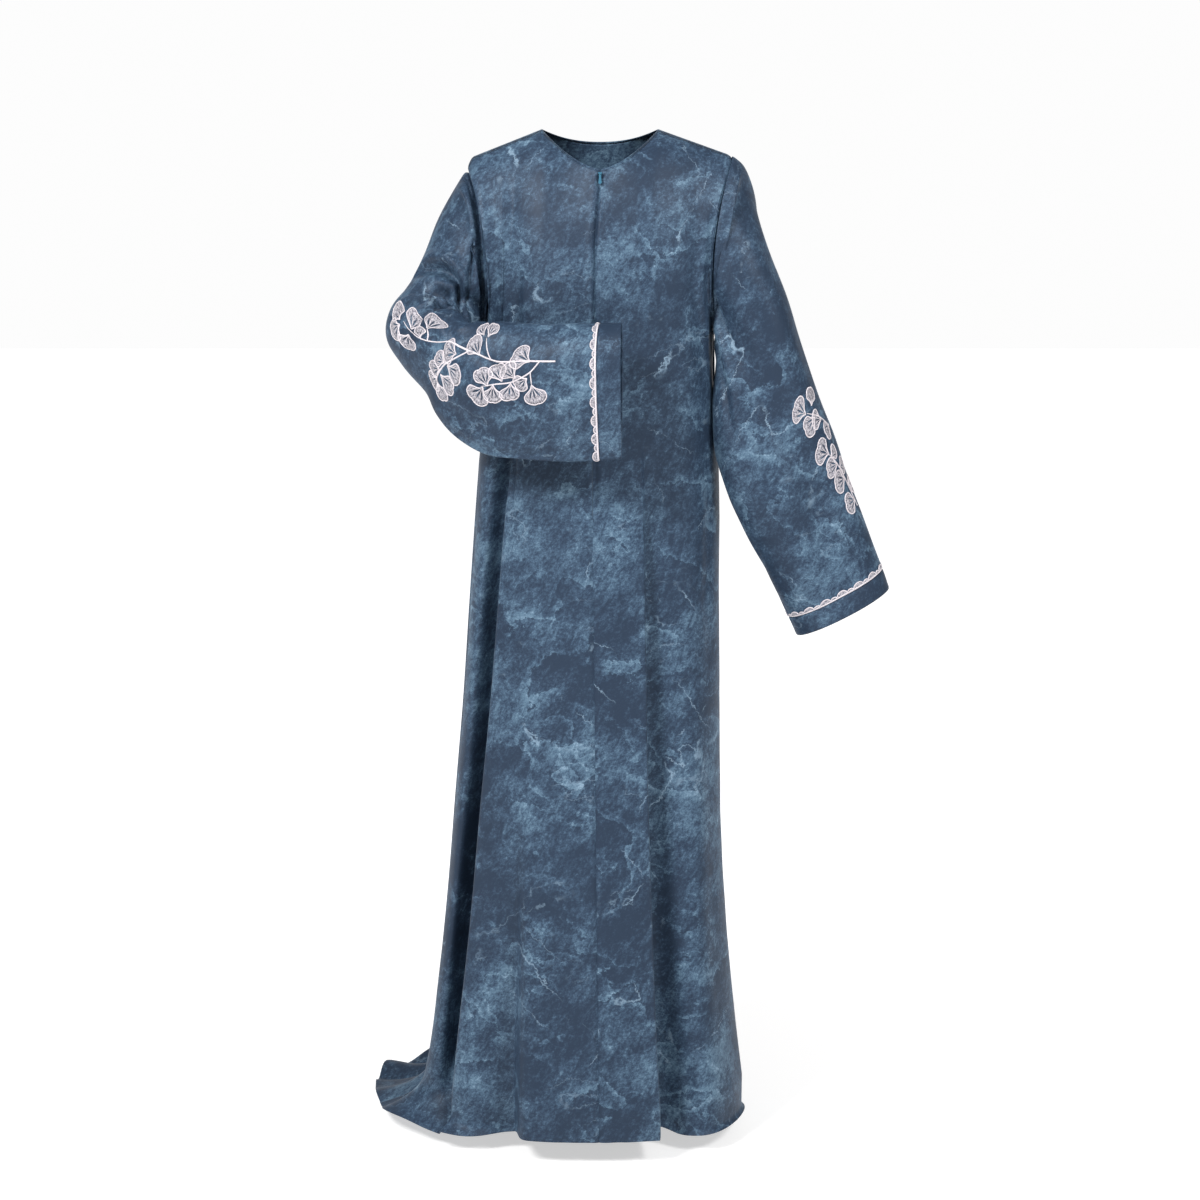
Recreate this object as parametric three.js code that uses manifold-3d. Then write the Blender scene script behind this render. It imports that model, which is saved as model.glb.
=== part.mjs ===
// A floor-length abaya in its worn form, hollow, with nobody in it.
// The right arm is bent across the waist, the left arm hangs a little away from the side, and the hem
// trails on the floor at the right and at the back.
//
// Millimetres. +Z is up, the front faces -Y, and the wearer's left is +X. The origin is where the
// garment is held: midway between the two neck points of the shoulder seams.
//
// Every panel is a thin wall. Its outer face is a grid of points worked out from the tables below, and
// its inner face is the same grid moved in by the thickness of the cloth.
import * as THREE from "three";
import { mergeVertices } from "three/addons/utils/BufferGeometryUtils.js";
import Module from "manifold-3d";

// ---- Driving sizes ----
const CLOTH = 1.5; // thickness of every panel
const SEAM = 0.3; // gap between two pieces that are sewn together
const FLOOR = -1485; // the neck points are this far above the floor
const NECK_HALF = 83; // centre of the neck to the neck point
// The bottom of the neckline, below the neck points and before or behind them. A curve of 1 is a V,
// and 2 is round.
const NECK_FRONT = { drop: 54, reach: 88, curve: 1.6 };
const NECK_BACK = { drop: 20, reach: 62, curve: 2.2 };
const SHOULDER = { half: 190, right: 44, left: 38 }; // the outer ends of the shoulder seams
const UNDERARM = { half: 165, z: -290 };
// How far the armhole runs forward and back, the share of its width that it curves in, and how squarely
// the chest turns into it, where 2 is an ellipse.
const ARMHOLE = { reach: 68, bow: 0.085, turn: 3 };
const FALL_TOP = -1400; // below this level each column of cloth falls to its own hem
const BAND = 30; // depth of the cuff bands
const TRIM = { width: 9, thick: 1 }; // the scalloped trim above each band, as a plain strip of its reach
const ZIP = {
  below: 9, // the middle of the slider, below the bottom of the V
  width: 5,
  height: 8,
  depth: 2,
  lug: 0.8, // thickness of the two lugs that hold the bar
  lugHeight: 2.6,
  bar: 0.6, // radius
  barUp: 1.5, // above the middle of the slider
};
const PULL = { eye: 1, barrel: 1.7, long: 3, neck: 2.4, width: 4.4, length: 15, thick: 1.2 };
const CLEAR = 0.4; // between the pull and the slider

// The body at each level: how far it reaches to the wearer's right and left, to the front and the back.
const RINGS = [
  { z: -290, right: 165, left: 165, front: 125, back: 102 },
  { z: -400, right: 169, left: 168, front: 128, back: 97 },
  { z: -500, right: 178, left: 174, front: 132, back: 101 },
  { z: -690, right: 194, left: 177, front: 146, back: 130 },
  { z: -850, right: 206, left: 180, front: 160, back: 153 },
  { z: -1000, right: 221, left: 185, front: 175, back: 175 },
  { z: -1150, right: 236, left: 193, front: 191, back: 197 },
  { z: -1300, right: 252, left: 207, front: 207, back: 219 },
  { z: -1400, right: 261, left: 219, front: 218, back: 233 },
];
const RING_POWER = 2.35; // 2 is an ellipse, and more is squarer

// The hanging folds, as troughs. Angles are in degrees from the centre front towards the wearer's left.
// low and high are the trough's widths on its two sides, depth is how deep it is at the hem, and a low
// growth makes it deepen early.
const FOLDS = [
  { name: "right side", from: -380, top: -49, hem: -61, low: 11, high: 4, depth: 56, growth: 0.75 },
  { name: "right edge", from: -520, top: -84, hem: -93, low: 6, high: 5, depth: 26, growth: 1 },
  { name: "right front", from: -900, top: -28, hem: -23, low: 11, high: 5, depth: 42, growth: 1.1 },
  { name: "left front", from: -440, top: 18, hem: 25, low: 4, high: 14, depth: 50, growth: 0.85 },
  { name: "left side", from: -560, top: 92, hem: 98, low: 11, high: 9, depth: 44, growth: 1.15 },
  { name: "left back", from: -480, top: 126, hem: 131, low: 12, high: 12, depth: 50, growth: 1.15 },
  { name: "centre back", from: -520, top: 168, hem: 166, low: 13, high: 9, depth: 46, growth: 1.15 },
  { name: "right back", from: -460, top: -154, hem: -156, low: 9, high: 13, depth: 52, growth: 1.15 },
  { name: "tail back", from: -620, top: -122, hem: -123, low: 7, high: 5, depth: 48, growth: 1.15 },
  { name: "tail middle", from: -760, top: -108, hem: -108, low: 4, high: 4, depth: 42, growth: 1.15 },
  { name: "tail front", from: -1000, top: -99, hem: -99, low: 4, high: 3, depth: 36, growth: 1.15 },
];
const FOLD_FULL = -1440; // the folds have their whole depth here
const FLOOR_LIFT = 0.5; // how high a ridge stands where it lies on the floor, as a share of its depth
const FOLD_DEEPEST = 50; // a trough of this depth lies flat on the floor

// How much cloth each angle has below FALL_TOP, where 45 hangs clear of the floor, and the radius of
// the bend in which the cloth turns on to the floor.
const HEM = [
  { angle: -180, drop: 135, bend: 40 },
  { angle: -150, drop: 145, bend: 46 },
  { angle: -130, drop: 156, bend: 70 },
  { angle: -118, drop: 164, bend: 84 },
  { angle: -107, drop: 157, bend: 84 },
  { angle: -97, drop: 134, bend: 82 },
  { angle: -88, drop: 108, bend: 78 },
  { angle: -76, drop: 96, bend: 62 },
  { angle: -62, drop: 88, bend: 46 },
  { angle: -48, drop: 74, bend: 40 },
  { angle: -30, drop: 54, bend: 40 },
  { angle: 0, drop: 47, bend: 40 },
  { angle: 18, drop: 48, bend: 40 },
  { angle: 34, drop: 62, bend: 40 },
  { angle: 84, drop: 66, bend: 40 },
  { angle: 110, drop: 74, bend: 40 },
  { angle: 145, drop: 112, bend: 40 },
  { angle: 180, drop: 135, bend: 40 },
];

// The sleeves, a row for each section from the armhole to the cuff. out is the edge over the shoulder,
// elbow and back of the arm, in is the edge under the arm, half is half the section's depth, and
// slack above 0 gathers that depth towards the in edge. The right sleeve is the bent one.
const SLEEVE_RIGHT = [
  { outX: -190, outY: 0, outZ: -44, inX: -165, inY: 0, inZ: -290, half: 68, slack: 0 },
  { outX: -201, outY: 2, outZ: -66, inX: -174, inY: -6, inZ: -297, half: 70, slack: 0 },
  { outX: -229, outY: 3, outZ: -122, inX: -178, inY: -26, inZ: -308, half: 70, slack: 0 },
  { outX: -254, outY: 2, outZ: -180, inX: -179, inY: -50, inZ: -309, half: 66, slack: 0.1 },
  { outX: -280, outY: -3, outZ: -236, inX: -177, inY: -74, inZ: -300, half: 62, slack: 0.2 },
  { outX: -303, outY: -14, outZ: -272, inX: -174, inY: -92, inZ: -290, half: 58, slack: 0.2 },
  { outX: -303, outY: -34, outZ: -304, inX: -168, inY: -104, inZ: -280, half: 54, slack: 0.2 },
  { outX: -285, outY: -56, outZ: -334, inX: -163, inY: -113, inZ: -272, half: 50, slack: 0.3 },
  { outX: -258, outY: -82, outZ: -366, inX: -156, inY: -122, inZ: -267, half: 46, slack: 0.4 },
  { outX: -232, outY: -108, outZ: -398, inX: -147, inY: -131, inZ: -265, half: 43, slack: 0.5 },
  { outX: -202, outY: -134, outZ: -428, inX: -134, inY: -141, inZ: -264, half: 41, slack: 0.6 },
  { outX: -160, outY: -160, outZ: -447, inX: -113, inY: -153, inZ: -264, half: 39, slack: 0.6 },
  { outX: -110, outY: -181, outZ: -452, inX: -82, inY: -166, inZ: -264, half: 38, slack: 0.6 },
  { outX: -55, outY: -196, outZ: -452, inX: -43, inY: -180, inZ: -263, half: 37, slack: 0.6 },
  { outX: 0, outY: -204, outZ: -450, inX: 0, inY: -189, inZ: -262, half: 36, slack: 0.6 },
  { outX: 30, outY: -206, outZ: -448, inX: 30, inY: -191, inZ: -260, half: 36, slack: 0.6 },
];
const SLEEVE_LEFT = [
  { outX: 190, outY: 0, outZ: -38, inX: 165, inY: 0, inZ: -290, half: 68, slack: 0 },
  { outX: 209, outY: 0, outZ: -58, inX: 171, inY: -8, inZ: -300, half: 70, slack: 0 },
  { outX: 222, outY: 1, outZ: -108, inX: 170, inY: -26, inZ: -328, half: 70, slack: -0.1 },
  { outX: 239, outY: 1, outZ: -164, inX: 168, inY: -45, inZ: -363, half: 68, slack: -0.25 },
  { outX: 257, outY: 0, outZ: -220, inX: 167, inY: -58, inZ: -400, half: 66, slack: -0.3 },
  { outX: 278, outY: -2, outZ: -282, inX: 168, inY: -66, inZ: -438, half: 64, slack: -0.3 },
  { outX: 300, outY: -5, outZ: -344, inX: 172, inY: -72, inZ: -478, half: 62, slack: -0.2 },
  { outX: 322, outY: -9, outZ: -400, inX: 187, inY: -72, inZ: -522, half: 61, slack: -0.1 },
  { outX: 344, outY: -14, outZ: -456, inX: 205, inY: -67, inZ: -562, half: 60, slack: 0 },
  { outX: 365, outY: -19, outZ: -512, inX: 228, inY: -60, inZ: -606, half: 58, slack: 0 },
  { outX: 387, outY: -24, outZ: -568, inX: 252, inY: -54, inZ: -652, half: 56, slack: 0 },
  { outX: 411, outY: -28, outZ: -632, inX: 276, inY: -48, inZ: -702, half: 54, slack: 0 },
  { outX: 423, outY: -30, outZ: -660, inX: 288, inY: -46, inZ: -729, half: 54, slack: 0 },
];

// Troughs in the sleeves. row and around are where the trough is deepest: the section, and the angle
// from the out edge over the front. long and wide are its reach, in sections and degrees, and skew
// turns it, in degrees for each section.
const TROUGHS_RIGHT = [
  { row: 2.4, around: 116, long: 1.9, wide: 15, skew: -16, depth: 15 },
  { row: 4.3, around: 132, long: 1.3, wide: 17, skew: -26, depth: 17 },
  { row: 5.6, around: 96, long: 1.1, wide: 15, skew: -24, depth: 12 },
  { row: 3.2, around: -118, long: 2.2, wide: 20, skew: 12, depth: 14 },
  { row: 6.3, around: -128, long: 1.8, wide: 18, skew: 10, depth: 13 },
  { row: 10.2, around: 128, long: 2.2, wide: 20, skew: 7, depth: 9 },
];
const TROUGHS_LEFT = [
  { row: 4.6, around: 104, long: 3.2, wide: 16, skew: -5, depth: 13 },
  { row: 1.6, around: 128, long: 1.6, wide: 14, skew: -6, depth: 12 },
  { row: 5.2, around: -112, long: 3.4, wide: 18, skew: 5, depth: 14 },
  { row: 9.2, around: 84, long: 1.9, wide: 18, skew: 4, depth: 8 },
];

// How finely the cloth is divided.
const QUARTER = 17; // columns from a centre line to a side seam
const NECK_COLUMNS = 6; // those of them that end at the neckline
const CHEST_ROWS = 10; // from the underarm to the shoulder
const BODY_LEVELS = [-290, -360, -450, -570, -710, -870, -1040, -1220, -1400];
const FALL_ROWS = 4;
const SLEEVE_SIDES = 20;
// Each panel and sleeve is one piece of cloth. Its solid is parted in two here, a seam's gap apart, so
// that the convex pieces that stand for it in a simulation follow its curve closely.
const BODY_PARTS = { at: 0, names: ["chest", "skirt"] }; // at is a row of the body
// at is a section. The gap is a share of one, because sections stand close together inside the elbow.
const SLEEVE_PARTS = { at: { right: 8, left: 6 }, names: ["upper", "lower"], gap: 0.025 };

// ---- Small helpers ----
const lerp = (a, b, t) => a + (b - a) * t;
const clamp = (x, low, high) => Math.min(high, Math.max(low, x));
const radians = (degrees) => (degrees * Math.PI) / 180;
const smooth = (t) => {
  const x = clamp(t, 0, 1);
  return x * x * (3 - 2 * x);
};
const wrap = (degrees) => degrees - 360 * Math.round(degrees / 360);
// A power that keeps the sign.
const power = (x, p) => Math.sign(x) * Math.abs(x) ** p;

// All the columns of a table at a place between its rows, on a smooth curve through them.
// by names the column to look along. Without it, at counts rows.
function sample(table, at, by) {
  const place = (i) => (by ? table[i][by] : i);
  const last = table.length - 1;
  const sign = Math.sign(place(last) - place(0));
  let i = 0;
  while (i < last - 1 && (at - place(i + 1)) * sign > 0) i += 1;
  const h = place(i + 1) - place(i);
  const t = clamp((at - place(i)) / h, 0, 1);
  const slope = (j, key) => {
    const a = Math.max(j - 1, 0);
    const b = Math.min(j + 1, last);
    return (table[b][key] - table[a][key]) / (place(b) - place(a));
  };
  const out = {};
  for (const key of Object.keys(table[0])) {
    const [p, q] = [table[i][key], table[i + 1][key]];
    const [m, n] = [slope(i, key) * h, slope(i + 1, key) * h];
    const bend = p - q;
    out[key] = p + t * (m + t * (-3 * bend - 2 * m - n + t * (2 * bend + m + n)));
  }
  return out;
}

// ---- The body ----
// How deep the hanging folds are at an angle and level.
function foldDepth(angle, z) {
  let depth = 0;
  for (const fold of FOLDS) {
    const grown = clamp((fold.from - z) / (fold.from - FOLD_FULL), 0, 1);
    const away = wrap(angle - lerp(fold.top, fold.hem, grown));
    const width = away < 0 ? fold.low : fold.high;
    depth += fold.depth * grown ** fold.growth * Math.exp(-((away / width) ** 2));
  }
  return depth;
}

// A point of the skirt and waist. row runs from 0 at the underarm to 1 at FALL_TOP and 2 at the hem.
function bodyPoint(turned, row) {
  const angle = wrap(turned);
  const { drop: cloth, bend } = sample(HEM, angle, "angle");
  const fall = clamp(row - 1, 0, 1) * cloth;
  const z = lerp(UNDERARM.z, FALL_TOP, Math.min(row, 1));
  const ring = sample(RINGS, z, "z");
  const half = angle > 0 ? ring.left : ring.right;
  const deep = Math.abs(angle) < 90 ? ring.front : ring.back;
  const [s, c] = [Math.sin(radians(angle)), Math.cos(radians(angle))];
  const x = half * power(s, 2 / RING_POWER);
  const y = -deep * power(c, 2 / RING_POWER);
  const out = new THREE.Vector2(x / half ** 2, y / deep ** 2).normalize();
  // The fall: straight down, then round the bend, then along the floor.
  const straight = FALL_TOP - FLOOR - bend;
  const turn = clamp((fall - straight) / bend, 0, Math.PI / 2);
  const along = Math.max(0, fall - straight - (bend * Math.PI) / 2);
  const reach = bend * (1 - Math.cos(turn)) + along;
  const drop = Math.min(fall, straight) + bend * Math.sin(turn);
  const depth = foldDepth(angle, z - drop);
  const ridge = FOLD_DEEPEST - Math.min(depth, FOLD_DEEPEST);
  const lift = Math.sin(turn) * (FLOOR_LIFT * ridge + CLOTH);
  const shift = reach - depth * Math.cos(turn);
  return new THREE.Vector3(x + out.x * shift, y + out.y * shift, z - drop + lift);
}

// The angles of a quarter's columns, spaced evenly along the hem, as threads of the cloth are.
const ARC_STEPS = 240; // the steps in which that length is measured
function columnAngles(from, to) {
  const along = [0];
  let last = bodyPoint(from, 1);
  for (let i = 1; i <= ARC_STEPS; i += 1) {
    const next = bodyPoint(lerp(from, to, i / ARC_STEPS), 1);
    along.push(along[i - 1] + next.distanceTo(last));
    last = next;
  }
  return (share) => {
    const want = share * along[ARC_STEPS];
    let i = 1;
    while (i < ARC_STEPS && along[i] < want) i += 1;
    return lerp(from, to, (i - 1 + (want - along[i - 1]) / (along[i] - along[i - 1])) / ARC_STEPS);
  };
}

// A face of the body: the front from -1 at the right side seam to 1 at the left one, or the back.
function makeFace({ centre, sides, neck, deep }) {
  const left = columnAngles(centre, sides.left);
  const right = columnAngles(centre, sides.right);
  const angleOf = (across) => (across < 0 ? right(-across) : left(across));
  const facing = deep < 0 ? -1 : 1;
  const neckShare = NECK_COLUMNS / QUARTER - 1e-9; // so that the neck point itself is on the shoulder
  // The top edge: the neckline, then the shoulder seam.
  function top(across) {
    const share = Math.abs(across);
    const side = Math.sign(across);
    if (share < neckShare) {
      const t = share / neckShare;
      const rise = 1 - t ** neck.curve;
      return new THREE.Vector3(side * NECK_HALF * t, facing * neck.reach * rise, -neck.drop * rise);
    }
    const t = (share - neckShare) / (1 - neckShare);
    const drop = across < 0 ? SHOULDER.right : SHOULDER.left;
    return new THREE.Vector3(side * lerp(NECK_HALF, SHOULDER.half, t), 0, -drop * t);
  }
  // up runs from 0 at the underarm to 1 at the top edge.
  function chest(across, up) {
    const low = bodyPoint(angleOf(across), 0);
    const high = top(across);
    const { reach, bow, turn } = ARMHOLE;
    const beside = 1 - Math.abs(low.y / deep) ** turn; // 1 at the armhole, and 0 at the centre
    const hollow = 2 * Math.sqrt(up * (1 - up));
    const x = lerp(low.x, high.x, up) * (1 - bow * beside ** turn * hollow);
    const roundness = lerp(1, 0.5, smooth(Math.abs(across) / neckShare)); // the centre is flatter
    const y = Math.abs(high.y + (low.y - high.y) * (1 - up ** 2) ** roundness);
    const out = (y ** turn + beside * (reach * hollow) ** turn) ** (1 / turn);
    return new THREE.Vector3(x, facing * out, lerp(low.z, high.z, up));
  }
  // Past the top edge, so that a normal can be found there, the shoulder goes on over the other side
  // and the neckline runs straight on.
  function pastTop(across, up) {
    const point = chest(across, 2 - up);
    if (Math.abs(across) < neckShare) return top(across).multiplyScalar(2).sub(point);
    return point.setY(-point.y);
  }
  // row runs from -1 at the top edge through 0 at the underarm to 2 at the hem.
  return (across, row) => {
    if (row < -1) return pastTop(across, -row);
    return row < 0 ? chest(across, -row) : bodyPoint(angleOf(across), row);
  };
}

const front = makeFace({
  centre: 0,
  sides: { left: 90, right: -90 },
  neck: NECK_FRONT,
  deep: -RINGS[0].front,
});
const back = makeFace({
  centre: 180,
  sides: { left: 90, right: 270 },
  neck: NECK_BACK,
  deep: RINGS[0].back,
});

// ---- The sleeves ----
// A point of a sleeve. row counts the sections, and around is the angle from the out edge over the front.
function sleevePoint(sections, troughs, row, around) {
  const middle = (s) =>
    new THREE.Vector3(s.outX + s.inX, s.outY + s.inY, s.outZ + s.inZ).multiplyScalar(0.5);
  const here = sample(sections, row);
  const last = sections.length - 1;
  const along = middle(sample(sections, Math.min(row + 0.5, last))).sub(
    middle(sample(sections, Math.max(row - 0.5, 0))),
  );
  const edge = new THREE.Vector3(here.outX - here.inX, here.outY - here.inY, here.outZ - here.inZ);
  edge.multiplyScalar(0.5);
  const forward = new THREE.Vector3().crossVectors(edge, along).normalize();
  if (sections[0].outX > 0) forward.negate();
  // At the armhole the section lies straight fore and aft.
  forward.lerp(new THREE.Vector3(0, -1, 0), 1 - smooth(row / 2)).normalize();
  const [c, s] = [Math.cos(radians(around)), Math.sin(radians(around))];
  const bow = ARMHOLE.bow * (1 - smooth(row)) * Math.abs(s);
  let depth = 0;
  for (const trough of troughs) {
    const off = row - trough.row;
    const turn = wrap(around - trough.around - trough.skew * off);
    depth += trough.depth * Math.exp(-((off / trough.long) ** 2) - (turn / trough.wide) ** 2);
  }
  const shrink = 1 - (depth * smooth(row)) / Math.hypot(edge.length() * c, here.half * s);
  const point = middle(here)
    .addScaledVector(edge, c * shrink)
    .addScaledVector(forward, here.half * s * (1 - here.slack * c) * shrink);
  point.x *= 1 - bow;
  return point;
}
const sleeveRight = (row, around) => sleevePoint(SLEEVE_RIGHT, TROUGHS_RIGHT, row, around);
const sleeveLeft = (row, around) => sleevePoint(SLEEVE_LEFT, TROUGHS_LEFT, row, around);

// ---- Walls ----
// The unit normal of a surface at (u, v), from points a probe away on each side. range keeps them on
// the surface.
function normalAt(surface, u, v, range, probe) {
  const step = (value, by, [low, high]) => clamp(value + by, low, high);
  const { u: across, v: along } = range(v);
  const du = surface(step(u, probe.u, across), v).sub(surface(step(u, -probe.u, across), v));
  const dv = surface(u, step(v, probe.v, along)).sub(surface(u, step(v, -probe.v, along)));
  return du.cross(dv).normalize();
}

// A wall over a grid of the surface. us and vs are the grid lines, and lift moves the outer face off
// the surface. A tube joins its last u line to its first, and flip turns the outer face round.
function wall(surface, options) {
  const { us, vs, range, probe, thick = CLOTH, lift = 0, tube = false, flip = false } = options;
  const [columns, rows] = [us.length, vs.length];
  const outer = [];
  const inner = [];
  for (const v of vs) {
    for (const u of us) {
      const point = surface(u, v);
      const normal = normalAt(surface, u, v, range, probe).multiplyScalar(flip ? -1 : 1);
      outer.push(point.clone().addScaledVector(normal, lift));
      inner.push(point.clone().addScaledVector(normal, lift - thick));
    }
  }
  const count = outer.length;
  const faces = [];
  const quad = (a, b, c, d) => {
    if (flip) faces.push(a, c, b, a, d, c);
    else faces.push(a, b, c, a, c, d);
  };
  const spans = tube ? columns : columns - 1;
  for (let j = 0; j < rows - 1; j += 1) {
    for (let i = 0; i < spans; i += 1) {
      const k = (i + 1) % columns;
      const [near, far] = [j * columns, (j + 1) * columns];
      const [a, b, c, d] = [near + i, near + k, far + k, far + i];
      quad(a, b, c, d);
      quad(a + count, d + count, c + count, b + count);
    }
  }
  const rim = (a, b) => quad(a, a + count, b + count, b);
  for (let i = 0; i < spans; i += 1) {
    const k = (i + 1) % columns;
    rim(i, k);
    rim((rows - 1) * columns + k, (rows - 1) * columns + i);
  }
  if (!tube) {
    for (let j = 0; j < rows - 1; j += 1) {
      rim((j + 1) * columns, j * columns);
      rim(j * columns + columns - 1, (j + 1) * columns + columns - 1);
    }
  }
  const geometry = new THREE.BufferGeometry();
  const numbers = [...outer, ...inner].flatMap((p) => p.toArray());
  geometry.setAttribute("position", new THREE.Float32BufferAttribute(numbers, 3));
  geometry.setIndex(faces);
  geometry.computeVertexNormals();
  return geometry;
}

const steps = (from, to, count) =>
  Array.from({ length: count + 1 }, (_, i) => lerp(from, to, i / count));

// The rows of the body's grid, from the top edge to the hem. Those of the chest stand closer together
// at its two ends, where the armhole and the shoulder turn.
const CHEST = steps(180, 0, CHEST_ROWS).map((turn) => -(1 - Math.cos(radians(turn))) / 2);
const rowAt = (z) => (UNDERARM.z - z) / (UNDERARM.z - FALL_TOP);
const SKIRT = BODY_LEVELS.slice(1).map(rowAt);
const BODY_ROWS = [...CHEST, ...SKIRT, ...steps(1, 2, FALL_ROWS).slice(1)];
const BODY_PROBE = { u: 0.02, v: 0.02 };
const PAST_SEAM = 1.1; // the side seams have cloth on both sides below the underarm
const FACE_EDGE = 0.0006; // the share of a half face that a seam takes from each panel
const TOP_EDGE = 1e-6; // the same at the shoulder, whose top is level

// The rows of a piece, parted in two at a row. gap is the share of a row between its two solids.
function parted(rows, at, gap) {
  return [rows.filter((row) => row <= at), [at + gap, ...rows.filter((row) => row > at + gap)]];
}

// A panel of the body between two seams, as its chest and its skirt. Its edges stand half a seam back
// from each seam.
function bodyPanel(name, face, from, to, flip) {
  const columns = steps(from, to, Math.round(Math.abs(to - from) * QUARTER));
  columns[0] += FACE_EDGE;
  columns[columns.length - 1] -= FACE_EDGE;
  const rows = BODY_ROWS.slice();
  rows[0] += TOP_EDGE;
  parted(rows, BODY_PARTS.at, rowAt(UNDERARM.z - SEAM)).forEach((vs, i) => {
    const panel = wall(face, {
      us: columns,
      vs,
      range: (row) => ({ u: row > 0 ? [-PAST_SEAM, PAST_SEAM] : [-1, 1], v: [-2, 2] }),
      probe: BODY_PROBE,
      flip,
    });
    add(`${name}_${BODY_PARTS.names[i]}`, panel, CLOTH_FINISH);
  });
}

// A stretch of a sleeve, from one section to another.
const SLEEVE_PROBE = { u: 9, v: 0.6 };
function sleeveTube(sleeve, rows, last, options = {}) {
  const around = steps(0, 360, SLEEVE_SIDES).slice(0, -1);
  return wall((u, v) => sleeve(v, u), {
    us: around,
    vs: rows,
    range: () => ({ u: [-Infinity, Infinity], v: [0, last] }),
    probe: SLEEVE_PROBE,
    tube: true,
    ...options,
  });
}

// A closed three.js geometry as a solid that manifold-3d can join, and back.
const wasm = await Module();
wasm.setup();
function solidOf(geometry) {
  const bare = geometry.clone();
  bare.deleteAttribute("normal");
  bare.deleteAttribute("uv");
  const merged = mergeVertices(bare, 1e-4);
  const vertProperties = merged.attributes.position.array;
  return new wasm.Manifold(
    new wasm.Mesh({ numProp: 3, vertProperties, triVerts: new Uint32Array(merged.index.array) }),
  );
}
function geometryOf(solid) {
  const { vertProperties, triVerts } = solid.getMesh();
  const geometry = new THREE.BufferGeometry();
  geometry.setAttribute("position", new THREE.BufferAttribute(vertProperties, 3));
  geometry.setIndex(new THREE.BufferAttribute(triVerts, 1));
  geometry.computeVertexNormals();
  return geometry;
}

// ---- The zip ----
// Both pieces are made in the frame of the slider's middle, where it meets the cloth: +Z is up the zip
// and -Y is out of the cloth.
const BAR_OUT = SEAM + ZIP.depth + CLEAR + PULL.barrel; // from the cloth to the bar
const ROUND = 12; // facets round a small pin
const OUTLINE = 6; // facets in a small outline's curve
const TAIL = { half: 0.36, from: 0.3, tip: 0.7 }; // the slider's tail, in its own widths and heights

// An outline in X and Z, thickened from y = back out to y = back - depth.
function plate(shape, depth, back) {
  const options = { depth, bevelEnabled: false, curveSegments: OUTLINE };
  return new THREE.ExtrudeGeometry(shape, options).rotateX(Math.PI / 2).translate(0, back, 0);
}

function zipSlider() {
  const { width, height, depth, lug, lugHeight, bar, barUp } = ZIP;
  // A body that is wider at the top, with a rounded tail.
  const outline = new THREE.Shape();
  outline.moveTo(-width / 2, height / 2);
  outline.lineTo(-width * TAIL.half, -height * TAIL.from);
  outline.quadraticCurveTo(0, -height * TAIL.tip, width * TAIL.half, -height * TAIL.from);
  outline.lineTo(width / 2, height / 2);
  let solid = solidOf(plate(outline, depth, -SEAM));
  const lugX = (PULL.long + lug) / 2 + CLEAR;
  const lugDepth = CLEAR + PULL.barrel + 2 * bar; // the lugs start inside the body
  for (const side of [-1, 1]) {
    const box = new THREE.BoxGeometry(lug, lugDepth + bar, lugHeight);
    box.translate(side * lugX, -(SEAM + depth) - (lugDepth - bar) / 2, barUp);
    solid = solid.add(solidOf(box));
  }
  const pin = new THREE.CylinderGeometry(bar, bar, 2 * lugX, ROUND);
  solid = solid.add(solidOf(pin.rotateZ(Math.PI / 2).translate(0, -BAR_OUT, barUp)));
  return geometryOf(solid);
}

function zipPull() {
  const { eye, barrel, long, neck, width, length, thick } = PULL;
  const ring = new THREE.Shape().absarc(0, 0, barrel, 0, 2 * Math.PI);
  ring.holes.push(new THREE.Path().absarc(0, 0, eye, 0, 2 * Math.PI));
  const options = { depth: long, bevelEnabled: false, curveSegments: ROUND };
  const knuckle = new THREE.ExtrudeGeometry(ring, options);
  knuckle.translate(0, 0, -long / 2).rotateY(Math.PI / 2);
  // A drop that widens to a round end.
  const top = -(eye + barrel) / 2;
  const round = width / 2;
  const drop = new THREE.Shape();
  drop.moveTo(-neck / 2, top);
  drop.lineTo(-round, round - length);
  drop.absarc(0, round - length, round, Math.PI, 2 * Math.PI);
  drop.lineTo(neck / 2, top);
  const solid = solidOf(knuckle).add(solidOf(plate(drop, thick, thick / 2)));
  return geometryOf(solid).translate(0, -BAR_OUT, ZIP.barUp);
}

// ---- The garment ----
const abaya = new THREE.Group();
function add(name, geometry, finish, parent = abaya) {
  const mesh = new THREE.Mesh(geometry, new THREE.MeshStandardMaterial(finish));
  mesh.name = name;
  parent.add(mesh);
}
const CLOTH_FINISH = { color: 0x4c607b, roughness: 0.7 };
const THREAD_FINISH = { color: 0xe6dee2, roughness: 0.6 };
const ZIP_FINISH = { color: 0x365d78, roughness: 0.4, metalness: 0.5 };

bodyPanel("front_right", front, -1, 0, true);
bodyPanel("front_left", front, 0, 1, true);
bodyPanel("back", back, -1, 1, false);

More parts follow.
